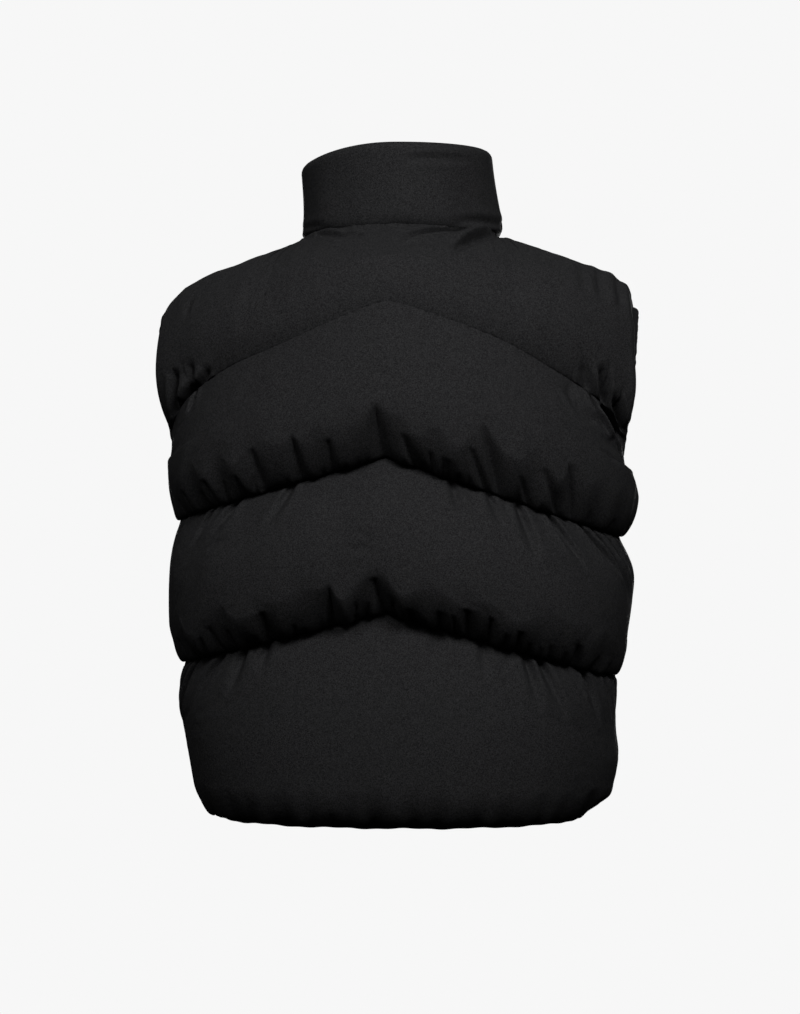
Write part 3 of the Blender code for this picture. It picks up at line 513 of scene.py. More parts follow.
def outer_edge(v, hand):
    """(half width, depth, height) of the side seam and, above the underarm, of the armhole. The
    seam slows to a stop at the underarm. The armhole is a stretch of an ellipse."""
    before, last = (row.v for row in SIDE_ROWS[-2:])
    near = np.clip((v - before) / (last - before), 0, 1)
    below = np.minimum(v, before) + (last - before) * (near + near**2 - near**3)
    half_width, height, lean = (
        read(SIDE_ROWS, name, below) for name in ("half_width", "height", "lean")
    )
    share = np.clip((v - UNDERARM_V) / (UPPER_LINE_V - UNDERARM_V), 0, 1)
    easing = (1 - np.exp(-share / UNDERARM_EASE)) / (1 - math.exp(-1 / UNDERARM_EASE))
    turn = ARMHOLE.line_turn * share**ARMHOLE_TURN_POWER * easing
    around = ARMHOLE.middle_height - ARMHOLE.half_height * np.cos(turn)
    height = np.where(v > UNDERARM_V, around, height)
    risen = (1 - np.cos(turn)) / (1 - math.cos(ARMHOLE.line_turn))
    half_width = half_width + (ARMHOLE_HALF_WIDTH_AT_LINE - SIDE_ROWS[-1].half_width) * risen
    lean = lean + (ARMHOLE_LEAN_AT_LINE - SIDE_ROWS[-1].lean) * risen
    return half_width, ARMHOLE.half_depth * np.sin(turn), height + hand * lean


def lower_points(panel, s, v, hand):
    """Points below the upper quilting line. Each row is a stretch of a superellipse round the
    torso. Its height falls evenly with the distance across, which makes straight chevrons, but
    along the upper quilting line it falls evenly with the turn, which makes a curved one."""
    depth, height = (read(CENTRE_ROWS[panel], name, v) for name in ("depth", "height"))
    edge_x, edge_depth, edge_height = outer_edge(v, hand)
    end_turn = np.arccos((edge_depth / depth) ** (ROUNDNESS / 2))
    turn = s * end_turn
    power = 2 / ROUNDNESS
    start_x = ZIP_EDGE if panel == "front" else 0.0
    across = (np.sin(turn) / np.sin(end_turn)) ** power
    x = start_x + (edge_x - start_x) * across
    y = DEPTHWISE[panel] * depth * np.cos(turn) ** power
    fall = across + (s - across) * np.clip(v - (UPPER_LINE_V - 1), 0, 1) ** 2
    return stack(x, y, height + (edge_height - height) * fall)


def neck_point(turn):
    """A point of the neck seam, turn radians round it from the centre back."""
    behind = np.cos(turn) >= 0
    rise = np.abs(np.cos(turn)) ** NECK_RISE_POWER
    height = NECK_SIDE_HEIGHT + (np.where(behind, *NECK_HEIGHT) - NECK_SIDE_HEIGHT) * rise
    depth = np.where(behind, *NECK_DEPTH)
    return stack(NECK_HALF_WIDTH * np.sin(turn), depth * np.cos(turn), height)


def neck_frame(turn):
    """(forwards along the neck seam, inwards and up square to it, out of the cloth)."""
    step = 1e-3
    along = unit(neck_point(turn + step) - neck_point(turn - step))
    end = np.where(np.cos(turn) >= 0, *NECK_LEAN)
    lean = NECK_SIDE_LEAN + (end - NECK_SIDE_LEAN) * np.cos(turn) ** 2
    inwards = stack(-lean * np.sin(turn), -lean * np.cos(turn), np.sqrt(1 - lean**2))
    inwards = square_to(inwards, along)
    return along, inwards, np.cross(inwards, along)


def neck_turn(panel, s):
    """How far round the neck seam a column of the panel ends."""
    start = FRONT_NECK_TURN if panel == "front" else 0.0
    return start + (NECK_POINT_TURN - start) * np.minimum(s / NECK_SHARE, 1)


def top_line(panel, s):
    """(points, directions) where the columns of a panel end: on the neck seam, then on the
    shoulder seam, which the cloth crosses square to it."""
    turn = neck_turn(panel, s)
    along = np.clip((s - NECK_SHARE) / (1 - NECK_SHARE), 0, 1)
    start = neck_point(np.asarray(NECK_POINT_TURN))
    drop = along**SHOULDER_DROP_POWER
    x = start[0] + (SHOULDER_TIP[0] - start[0]) * along
    y = start[1] + (SHOULDER_TIP[1] - start[1]) * along
    z = start[2] + (SHOULDER_TIP[2] - start[2]) * drop
    points = np.where((s > NECK_SHARE)[..., None], stack(x, y, z), neck_point(turn))
    forwards, inwards, _ = neck_frame(turn)
    near_neck = np.minimum(s / NECK_SHARE, 1) ** 2
    past_neck = np.clip(along / PAST_NECK, 0, 1)
    share = (near_neck + past_neck)[..., None] / 2
    square_on = np.array((0.0, -1.0, 0.0))
    crossing = np.where((s > NECK_SHARE)[..., None], square_on, forwards) * DEPTHWISE[panel]
    return points, unit(inwards * (1 - share) + crossing * share)


def soft_top_line(panel, s):
    """The top line with the corner at the neck point rounded off: a mean of places near by."""
    reach = np.minimum(CORNER_REACH, np.minimum(s, 1 - s))
    offsets = np.linspace(-1, 1, CORNER_PLACES)
    places = [top_line(panel, s + reach * offset) for offset in offsets]
    points = sum(place[0] for place in places) / CORNER_PLACES
    return points, unit(sum(place[1] for place in places))


def dropped(panel, s, v, hand):
    """v with the upper quilting line slid down the cloth. The drop is full at the line and fades
    to nothing at the underarm and at the top."""
    left, right = (read(LINE_DROPS[panel], side, s) for side in ("left", "right"))
    under = (v - UNDERARM_V) / (UPPER_LINE_V - UNDERARM_V)
    over = (TOP_V - v) / (TOP_V - UPPER_LINE_V)
    return v - np.where(np.asarray(hand) > 0, left, right) * smooth_step(np.minimum(under, over))


def ring_quads(stations, corners, closed=False):
    """The faces between closed sections carried along a path, which may close too."""
    return grid_quads(np.pad(numbered(stations, corners), ((0, closed), (0, 1)), "wrap"))


def numbered(rows, columns, start=0):
    """The numbers of a grid's points, row by row."""
    return start + np.arange(rows * columns).reshape(rows, columns)


def put_on(piece, material, stands_for=None):
    """Dresses a piece in its material and puts it on the vest, in place of a plain node."""
    piece.data.materials.append(material)
    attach(piece, "vest")
    if stands_for:
        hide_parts(stands_for)


def panel_points(panel, s, v, hand):
    """Points of a panel's sewn surface, all on the side of positive X."""
    s, v = np.broadcast_arrays(np.asarray(s, float), np.asarray(v, float))
    v = dropped(panel, s, v, hand)
    below = lower_points(panel, s, np.minimum(v, UPPER_LINE_V), hand)
    step = 1e-3
    line = np.full_like(v, UPPER_LINE_V)
    start = lower_points(panel, s, line, hand)
    rising = unit(start - lower_points(panel, s, line - step, hand))
    end, _ = top_line(panel, s)
    soft_end, arriving = soft_top_line(panel, s)
    roundness = YOKE_REACH[0] + (YOKE_REACH[1] - YOKE_REACH[0]) * s
    reach = np.linalg.norm(end - start, axis=-1, keepdims=True) * roundness[..., None]
    share = np.clip(v - UPPER_LINE_V, 0, 1)[..., None]
    end = soft_end + (end - soft_end) * share**2
    yoke = hermite(start, rising * reach, end, arriving * reach, share)
    return np.where((v > UPPER_LINE_V)[..., None], yoke, below)


def panel_axes(panel, s, v, hand):
    """(normals out of the sewn surface, unit vectors up it), from its slopes along s and v."""
    s, v = np.broadcast_arrays(np.asarray(s, float), np.asarray(v, float))
    step = 2e-3
    along = panel_points(panel, np.minimum(s + step, 1), v, hand) - panel_points(
        panel, np.maximum(s - step, 0), v, hand
    )
    up = panel_points(panel, s, np.minimum(v + step, TOP_V), hand) - panel_points(
        panel, s, np.maximum(v - step, 0), hand
    )
    normals = unit(np.cross(along, up)) * -DEPTHWISE[panel]
    if panel == "back":
        normals[..., 0] = np.where(s == 0, 0, normals[..., 0])
    _, _, neck_out = neck_frame(neck_turn(panel, s))
    start = np.clip(s, NECK_SHARE, 1 - step)
    shoulder = top_line(panel, start + step)[0] - top_line(panel, start)[0]
    shoulder_out = unit(stack(-shoulder[..., 2], 0, shoulder[..., 0]))
    seam_out = np.where((s <= NECK_SHARE)[..., None], neck_out, shoulder_out)
    return unit(np.where((v == TOP_V)[..., None], seam_out, normals)), unit(up)


# ==== making meshes


def add_mesh(name, points, faces, uv=None, smooth_angle=None):
    """A mesh object from points in metres. uv gives each point's place on the flat cloth."""
    mesh = bpy.data.meshes.new(name)
    mesh.from_pydata(np.asarray(points, float).tolist(), [], faces)
    if uv is not None:
        corners = np.empty(len(mesh.loops), np.int32)
        mesh.loops.foreach_get("vertex_index", corners)
        layer = mesh.uv_layers.new(name="cloth")
        layer.data.foreach_set("uv", np.asarray(uv, np.float32)[corners].ravel())
    mesh.shade_smooth()
    if smooth_angle is not None:
        mesh.set_sharp_from_angle(angle=smooth_angle)
    piece = bpy.data.objects.new(name, mesh)
    bpy.context.scene.collection.objects.link(piece)
    return piece


def grid_quads(index, flip=False):
    """The faces between the rows of a grid of point numbers."""
    corners = [index[:-1, :-1], index[:-1, 1:], index[1:, 1:], index[1:, :-1]]
    quads = np.stack([corner.ravel() for corner in corners], axis=1)
    return (quads[:, ::-1] if flip else quads).tolist()


def bridge(first, second):
    """Triangles between two rows of point numbers of unlike length that run side by side."""
    first = np.asarray(first)
    second = np.asarray(second)
    partner = np.round(np.linspace(0, len(second) - 1, len(first))).astype(int)
    faces = [
        [int(first[n]), int(first[n + 1]), int(second[partner[n + 1]])]
        for n in range(len(first) - 1)
    ]
    faces += [
        [int(first[n]), int(second[partner[n + 1]]), int(second[partner[n]])]
        for n in range(len(first) - 1)
        if partner[n] != partner[n + 1]
    ]
    return faces


# ==== baffles


def edge_fullness(distance, rounding):
    """0 at a sewn edge, rising as a quarter ellipse to 1."""
    near = np.clip(distance / rounding, 0, 1)
    return np.sqrt(1 - (1 - near) ** 2)


def rise_fullness(
    share, fullest, flatness=UPPER_FLATNESS, roll_end=ROLL_END, square=ROLL_SQUARENESS
):
    """How full a baffle is up its height: its lower roll turns out steadily, part sine and part
    quarter ellipse, it is fullest below the middle, and it runs flatter into its upper line."""
    low = np.clip(share / fullest, 0, 1)
    high = np.clip((share - fullest) / (1 - fullest), 0, 1)
    ellipse = np.sqrt(1 - (1 - low) ** 2)
    sine = np.sin(low * roll_end * math.pi / 2) / math.sin(roll_end * math.pi / 2)
    roll = sine * (1 - square) + ellipse * square
    return np.where(share < fullest, roll, 1 - high**flatness)


def smooth_step(share):
    share = np.clip(share, 0, 1)
    return share * share * (3 - 2 * share)


def line_depth(panel, number, u, full):
    """How far out of the sewn surface a quilting line lies, from the centre, u 0, outwards. It
    rises steeply out of the panel's outer edge."""
    line = LINES[panel][number]
    depth = line.side + (line.centre - line.side) * smooth_step(1 - u / line.reach)
    return np.minimum(depth, SEAM_OUT + LINE_STEEPNESS * full)


def hanging(share):
    """How far the lower roll hangs, 0 at the seam, 1 at ROLL_AT and fading above it."""
    near = share / ROLL_AT
    return near * np.exp(1 - near)


def from_outer_edge(panel, number, points, hand):
    """The distance of each point from the panel's outer edge, worked out row by row."""
    found = np.empty(points.shape[:2])
    around = np.linspace(max(number - 0.5, 0), min(number + 1.5, TOP_V), 160)
    for side in (-1, 1):
        mine = hand[0] == side
        if mine.any():
            edge = panel_points(panel, 1.0, around, side)
            found[:, mine] = [
                np.linalg.norm(row[:, None] - edge[None], axis=-1).min(axis=1)
                for row in points[:, mine]
            ]
    return found


def gather_bell(gather, run, height):
    """(trough, flame, share of the height) of one gather. The trough is widest at the line, steep
    on the side of the centre and softer on the other. The flame is the wider stretch of the roll
    that turns under around it, and it comes to a point."""
    up = np.clip(height / gather.tall, 0, 1)
    outward = (run - gather.place - gather.slant * height) * (1 if gather.across >= 0 else -1)
    wide = gather.wide * (BELL_FOOT - BELL_NARROWING * up)
    near = np.abs(outward) / (wide * np.where(outward < 0, INNER_STEEPNESS, 1))
    return np.exp(-(near**BELL_POWER)), np.exp(-(near / FLAME_SPREAD)), up


def trough_shares(gathers, run, height, tip):
    """How much of the puff the gathers take away, and how much higher they make the roll."""
    kept = np.ones(np.broadcast(run, height).shape)
    raised = np.zeros(kept.shape)
    for gather in gathers:
        trough, flame, up = gather_bell(gather, run, height)
        kept = kept * (1 - gather.deep * TROUGH_SHARE * trough * (1 - up))
        raised = np.maximum(raised, flame * gather.tall * RAISED_BY * (1 - up) ** tip)
    return 1 - kept, raised


def crease_depths(gathers, run, down):
    """The depth of the creases under a line: each is a narrow bell that fades downwards, with a
    low ridge on either side."""
    depth = np.zeros(np.broadcast(run, down).shape)
    for gather in gathers:
        near = down / (gather.tall * CREASE_REACH)
        across = run - gather.place - gather.slant * down
        across = across / (gather.wide * (CREASE_FOOT + CREASE_SPREAD * near))
        wave = (1 - CREASE_RIDGES * across**2) * np.exp(-(across**2) / FOLD_SOFTNESS)
        fade = np.clip(1 - near, 0, 1) ** CREASE_FADE * np.clip(down / CREASE_START, 0, 1)
        depth = depth + gather.deep * CREASE_DEPTH * wave * fade
    return depth


def waves(rng, run, kind):
    """A smooth uneven wave along a line: sines near one spacing with random phases, within
    about -1 to 1."""
    total = np.zeros_like(run)
    for _ in range(kind.count):
        length = kind.spacing * rng.uniform(*WAVE_LENGTHS)
        total = total + np.sin(2 * math.pi * (run / length + rng.uniform()))
    return total / math.sqrt(kind.count) / WAVE_CALM


def placed(gathers, places, run):
    """The gathers with their places along the line, from how far across the panel they are."""
    order = np.argsort(places)
    found = np.interp([gather.across for gather in gathers], places[order], run[order])
    return [gather._replace(place=place) for gather, place in zip(gathers, found)]


def small_gathers(gathers, number):
    """Small uneven gathers in the gaps between the placed ones."""
    if number == 0:
        return ()
    rng = np.random.default_rng(SEEDS["small gathers"] + number)
    found = []
    across = -SMALL_GATHERS_TO
    while across < SMALL_GATHERS_TO:
        spacing, tall, wide, deep = (rng.uniform(*span) for span in SMALL_GATHER_SPANS)
        across += spacing
        clear = min(abs(across - gather.across) for gather in gathers)
        if clear > SMALL_GATHER_CLEAR and (number < UPPER_LINE_V or abs(across) > YOKE_EVEN_TO):
            slant = -math.copysign(SMALL_GATHER_SLANT, across)
            found.append(Gather(across, tall, wide, deep, slant))
    return tuple(found)


def lower_gathers(panel, number, hand):
    gathers = (GATHERS if panel == "back" else FRONT_GATHERS).get(number, ())
    gathers = gathers + small_gathers(gathers, number)
    if panel == "front" and hand[0, 0] < 0:
        start, step = RIGHT_FRONT_PLACES
        gathers = [gather._replace(across=start - gather.across * step) for gather in gathers]
    return gathers


def even_rows(baffle, height, count):
    """Shares of a baffle's height at which its outer face has about evenly spaced rows."""
    share = np.linspace(0, 1, 2000)
    out = baffle.centre * rise_fullness(share, baffle.fullest)
    up = share * height - baffle.sag_side * hanging(share)
    run = distance_along(stack(out, up, 0 * up), 0)
    return np.interp(np.linspace(0, run[-1], count), run, share)


def puffed(share, fullest, form, peak, low_line, high_line):
    """How far out the cloth stands: at the lines by the lines' own depths, at its peak between."""
    line = np.where(share < fullest, low_line, high_line)
    return line + (peak - line) * rise_fullness(share, fullest, *form)


def trim(height, hand):
    """How much more padding there is near the side at each height."""
    return np.where(hand > 0, *(read(TRIMS, side, height) for side in ("left", "right")))


def yoke_trim(points, share, hand):
    """How much higher the yoke's points are than the sewn form: nothing at its line, and all of
    the trim from its middle up."""
    places, *sides = np.array(YOKE_TRIMS).T
    across = np.abs(points[..., 0])
    lift = np.where(hand > 0, *(np.interp(across, places, side) for side in sides))
    return lift * smooth_step(share * YOKE_TRIM_RISE)


def fold_depths(folds, x, z):
    """How deep the folds press the cloth in. A fold runs between two places, bowed sideways, as
    a trough with a low ridge on either side, and fades at both ends. A ridge is below zero."""
    depth = np.zeros(np.broadcast(x, z).shape)
    for fold in folds:
        run_x = fold.to_x - fold.from_x
        run_z = fold.to_z - fold.from_z
        length = math.hypot(run_x, run_z)
        along = ((x - fold.from_x) * run_x + (z - fold.from_z) * run_z) / length
        aside = ((x - fold.from_x) * run_z - (z - fold.from_z) * run_x) / length
        share = np.clip(along / length, 0, 1)
        past = along - share * length
        middle = 4 * share * (1 - share)
        near = ((aside - fold.bow * middle) ** 2 + past**2) / fold.wide**2
        ends = FOLD_ENDS + (1 - FOLD_ENDS) * middle**0.5
        depth = depth + fold.deep * (1 - near) * np.exp(-near / FOLD_SOFTNESS) * ends
    return depth


def baffle_cloth(panel, number, signed_s, hand):
    """The outer cloth of one padded baffle between lines number and number + 1, also without its
    gathers, and its places on the flat cloth. Each point is its sewn point moved out by the puff
    and down by the hanging roll. Gathers take both away. Creases and folds press the cloth in,
    and small crimps run along both lines. The yoke's top has its own trim and neck ruffle."""
    baffle = BAFFLES[panel][number]
    look = UNEVENNESS[number]
    rng = np.random.default_rng(100 * (panel == "front") + 10 * number + (hand[0, 0] > 0))
    s = np.abs(signed_s)[None, :]
    middle = panel_points(panel, np.zeros(2), np.array((number, number + 1)), 1)
    middle_height = np.linalg.norm(middle[1] - middle[0])
    share = even_rows(baffle, middle_height, FINENESS[panel].rows)[:, None]
    v = number + share
    sewn = panel_points(panel, s, v, hand)
    normals, up = panel_axes(panel, s, v, hand)
    mirror = stack(hand, 1, 1)
    across = distance_along(sewn, 1)
    height = distance_along(sewn, 0)
    whole = height[-1:]
    down = whole - height
    centre = int(np.argmin(np.abs(signed_s)))
    across = np.abs(across - across[:, centre : centre + 1])
    full = edge_fullness(from_outer_edge(panel, number, sewn, hand), baffle.edge)
    if panel == "front":
        full = full * edge_fullness(across, ZIP_EDGE_ROUNDING)
    row = panel_points(panel, np.linspace(0, 1, 60)[None, :], np.minimum(v, UNDERARM_V), 1)
    u = np.clip(across / distance_along(row, 1)[:, -1:], 0, 1)
    sides = np.sign(signed_s)[None, :] if panel == "back" else hand
    run = across[:1] * sides
    lower = placed(lower_gathers(panel, number, hand), sewn[0, :, 0] * sides[0], run[0])
    upper = GATHERS_BELOW.get(number + 1, ()) if panel == "back" else ()
    upper = placed(upper, sewn[-1, :, 0] * sides[0], (across[-1:] * sides)[0])
    taken, raised = trough_shares(lower, run, height, GATHER_TIP[panel])

    fullest = baffle.fullest + (baffle.side_fullest - baffle.fullest) * u**2
    fullest = fullest * (1 + look.band * waves(rng, run, BAND_WAVES))
    flatness = UPPER_FLATNESS
    if number == TOP_V - 1:
        at_centre, at_armhole = YOKE_FLATNESS
        flatness = at_centre + (at_armhole - at_centre) * smooth_step(u / YOKE_FLAT_TO)
    lobes = 1 + look.lobes * waves(rng, run, LOBE_WAVES) * np.exp(-height / LOBE_REACH)
    side = np.where(hand > 0, baffle.left, baffle.right)
    peak = (side + (baffle.centre - side) * (1 - u**2)) * lobes * full + SEAM_OUT
    near_side = smooth_step((u - TRIM_FROM) / (TRIM_TO - TRIM_FROM))
    peak = peak + trim(sewn[..., 2], hand) * near_side * full
    low_line = line_depth(panel, number, u[:1], full[:1])
    high_line = line_depth(panel, number + 1, u[-1:], full[-1:])
    depths = (peak, low_line, high_line)
    form = (flatness, look.roll_end, look.square + (ROLL_SQUARENESS - look.square) * u**2)
    even = puffed(height / whole, fullest, form, *depths)
    fullest = np.clip(fullest + raised / whole, *FULLEST_WITHIN)
    gathered = puffed(height / whole, fullest, form, *depths)

    sag = baffle.sag_centre + (baffle.sag_side - baffle.sag_centre) * u**look.sag_power
    sag = sag * full * hanging(share) * (1 + look.scallops * waves(rng, run, SCALLOP_WAVES))
    creases = crease_depths(upper, run, down)
    crimps = sum(
        waves(rng, run, CRIMP_WAVES) * np.exp(-far / CRIMP_REACH) for far in (height, down)
    )
    line = low_line + (high_line - low_line) * height / whole
    out = line + (gathered - line) * (1 - taken) - creases * full + CRIMP * crimps * full
    if panel == "back":
        place = (sewn + normals * out[..., None]) * mirror
        folds = fold_depths(FOLDS.get(number, ()), place[..., 0], place[..., 2])
        out = out - folds * np.clip(down / FOLD_START, 0, 1)
    points = sewn * mirror + normals * mirror * out[..., None]
    points = points - up * mirror * (sag * (1 - taken))[..., None]
    plain = sewn * mirror + normals * mirror * even[..., None] - up * mirror * sag[..., None]
    if number == TOP_V - 1:
        points[..., 2] = points[..., 2] + yoke_trim(points, share, hand) * full
        if panel == "back":
            points = ruffled(points, run, down, rng)
    return points, plain, np.stack([run + 0 * height, height], axis=-1)


def ruffled(points, run, down, rng):
    """The back yoke with its cloth raised unevenly along the foot of the collar, and pushed up
    and out in one bell-shaped peak. Both fade down the cloth."""
    x = points[..., 0]
    at_neck = np.exp(-down / NECK_PEAK.reach) * (np.abs(x) < NECK_RUFFLE.within)
    fading = smooth_step((NECK_HALF_WIDTH - np.abs(run)) / NECK_RUFFLE.fade)
    ruffle = NECK_RUFFLE.tall * waves(rng, run, RUFFLE_WAVES) * fading
    peak = np.exp(-(((x - NECK_PEAK.across) / NECK_PEAK.wide) ** 2))
    outward = points * (1, 1, 0) / np.linalg.norm(points[..., :2], axis=-1, keepdims=True)
    points[..., 2] = points[..., 2] + at_neck * (NECK_PEAK.tall * peak + ruffle)
    return points + outward * (at_neck * NECK_PEAK.out * peak)[..., None]


def baffle_lining(panel, number, signed_s, hand):
    """The plain inner face of a baffle: its sewn points moved in, a little fuller mid-height."""
    share = np.linspace(0, 1, FINENESS[panel].rows)[::INNER_EVERY][:, None]
    s = np.abs(signed_s)[None, ::INNER_EVERY]
    hand = hand[:, ::INNER_EVERY]
    sewn = panel_points(panel, s, number + share, hand)
    normals, _ = panel_axes(panel, s, number + share, hand)
    across = distance_along(sewn, 1)
    to_seam = np.minimum(across[:, -1:] - across, across)
    full = edge_fullness(to_seam, LINING_EDGE) * np.sin(math.pi * share)
    points = (sewn - normals * (SEAM_IN + INNER_PUFF * full)[..., None]) * stack(hand, 1, 1)
    if number == TOP_V - 1:
        away = edge_fullness(across[:, -1:] - across, BAFFLES[panel][number].edge)
        lowered = np.minimum(yoke_trim(points, share, hand) * away, 0)
        points[..., 2] = points[..., 2] + lowered
    return points


def settle(name, start, plain):
    """Lets the cloth give under the pressure of its filling with its sewn edges held, by
    Blender's cloth simulation, and returns how far each point moved, at most SETTLE_CAP. The
    cloth was cut flat: each of its columns is as wide everywhere as the plain baffle is at its
    fullest, so what the shorter seams can't hold wrinkles up next to them."""
    rows, columns = start.shape[:2]
    widths = np.linalg.norm(np.diff(plain, axis=1), axis=-1).max(axis=0)
    heights = np.linalg.norm(np.diff(plain, axis=0), axis=-1)
    cut = np.zeros(start.shape)
    cut[:, 1:, 0] = np.cumsum(widths)
    cut[1:, :, 2] = np.cumsum(heights, axis=0)
    row, column = rows // 2, columns // 2
    across = start[row, column + 1] - start[row, column]
    upwards = start[row + 1, column] - start[row, column]
    inside_out = np.cross(across, upwards)[:2] @ start[row, column, :2] < 0
    quads = grid_quads(numbered(rows, columns), flip=inside_out)
    sheet = add_mesh(name, start.reshape(-1, 3) * MM, quads)
    sheet.shape_key_add(name="worn")
    flat = sheet.shape_key_add(name="cut flat")
    flat.data.foreach_set("co", (cut * MM).ravel())
    edge = np.ones((rows, columns), bool)
    edge[1:-1, 1:-1] = False
    held = sheet.vertex_groups.new(name="sewn")
    held.add(np.flatnonzero(edge.ravel()).tolist(), 1.0, "REPLACE")
    cloth = sheet.modifiers.new("cloth", "CLOTH")
    cloth.settings.vertex_group_mass = "sewn"
    cloth.settings.rest_shape_key = flat
    for setting, value in CLOTH_SETTINGS.items():
        setattr(cloth.settings, setting, value)
    cloth.settings.effector_weights.gravity = 0
    cloth.point_cache.frame_start = 1
    cloth.point_cache.frame_end = SETTLE_FRAMES
    scene = bpy.context.scene
    for number in range(1, SETTLE_FRAMES + 1):
        scene.frame_set(number)
    settled = sheet.evaluated_get(bpy.context.evaluated_depsgraph_get()).data
    points = np.empty(rows * columns * 3, np.float32)
    settled.vertices.foreach_get("co", points)
    moved = points.reshape(start.shape) / MM - start
    far = np.linalg.norm(moved, axis=-1, keepdims=True)
    bpy.data.objects.remove(sheet)
    scene.frame_set(1)
    return moved * np.minimum(1, SETTLE_CAP / np.maximum(far, 1e-9))


def halfway(grid, axis):
    """The grid with a smooth row put in halfway between each two rows along one axis."""
    grid = np.moveaxis(grid, axis, 0)
    padded = np.concatenate([2 * grid[:1] - grid[1:2], grid, 2 * grid[-1:] - grid[-2:-1]])
    between = (9 * (padded[1:-2] + padded[2:-1]) - padded[:-3] - padded[3:]) / 16
    finer = np.empty((2 * len(grid) - 1, *grid.shape[1:]))
    finer[::2] = grid
    finer[1::2] = between
    return np.moveaxis(finer, 0, axis)


def make_baffle(name, panel, number, signed_s, hand, material):
    """One padded baffle: its settled outer cloth, its lining and the pinched rim between."""
    outer, plain, flat = baffle_cloth(panel, number, signed_s, hand)
    moved = settle(f"{name}_sheet", outer[::2, ::2], plain[::2, ::2])
    outer = outer + halfway(halfway(moved, 0), 1)
    lining = baffle_lining(panel, number, signed_s, hand)
    index = numbered(*outer.shape[:2])
    inner = numbered(*lining.shape[:2], index.size)
    faces = grid_quads(index) + grid_quads(inner, flip=True)
    faces += bridge(index[0, ::-1], inner[0, ::-1]) + bridge(index[:, 0], inner[:, 0])
    faces += bridge(index[-1], inner[-1]) + bridge(index[::-1, -1], inner[::-1, -1])
    lining = lining.reshape(-1, 3)
    points = np.concatenate([outer.reshape(-1, 3), lining])
    uv = np.concatenate([flat.reshape(-1, 2), lining[:, ::2]])
    piece = add_mesh(name, points * MM, faces, uv * MM, BAFFLE_SHARP)
    turn_outwards(piece)
    put_on(piece, material, name.replace("_cloth", ""))


def turn_outwards(piece):
    """Turns every face over if the closed mesh encloses a negative volume."""
    mesh = piece.data
    mesh.calc_loop_triangles()
    corners = np.empty(len(mesh.loop_triangles) * 3, np.int32)
    mesh.loop_triangles.foreach_get("vertices", corners)
    places = np.empty(len(mesh.vertices) * 3, np.float32)
    mesh.vertices.foreach_get("co", places)
    triangles = places.reshape(-1, 3)[corners.reshape(-1, 3)].astype(float)
    a, b, c = triangles[:, 0], triangles[:, 1], triangles[:, 2]
    if np.sum(a * np.cross(b, c)) < 0:
        mesh.flip_normals()


def make_panel(name, panel, hand, material):
    """The baffles of one panel. The back covers both hands, a front only its own."""
    half = FINENESS[panel].half_columns
    signed_s = np.linspace(0, 1, half + 1) if hand else np.linspace(-1, 1, 2 * half + 1)
    hands = np.where(signed_s < 0, -1, 1)[None, :] * (hand or 1)
    for number in range(TOP_V):
        make_baffle(f"{name}_baffle_{number + 1}_cloth", panel, number, signed_s, hands, material)


# ==== collar


def collar_spine(turn, hand):
    """(foot, bend, top) of the collar's middle line round the neck."""
    turn = np.asarray(turn, float)
    seam = neck_point(turn)
    _, inwards, _ = neck_frame(turn)
    foot = seam + inwards * COLLAR_CLEAR
    bend = foot + inwards * COLLAR_FOOT
    behind = np.cos(turn) >= 0
    left = np.asarray(hand) > 0
    start_x = np.where(behind, 0.0, ZIP_EDGE)
    half_width = np.where(left, *COLLAR_TOP_HALF_WIDTH)
    narrowing = (half_width - start_x) / (NECK_HALF_WIDTH - start_x)
    side_height = np.where(left, *COLLAR_SIDE_HEIGHT)
    rise = np.abs(np.cos(turn)) ** NECK_RISE_POWER
    height = side_height + (np.where(behind, *COLLAR_TOP_HEIGHT) - side_height) * rise
    x = start_x + (seam[..., 0] - start_x) * narrowing
    top = stack(x, np.where(behind, *COLLAR_TOP_DEPTH) * np.cos(turn), height)
    flip = stack(hand, 1, 1)
    return foot * flip, bend * flip, top * flip


def collar_line(foot, bend, top, t):
    return (1 - t) ** 2 * foot + 2 * t * (1 - t) * bend + t**2 * top


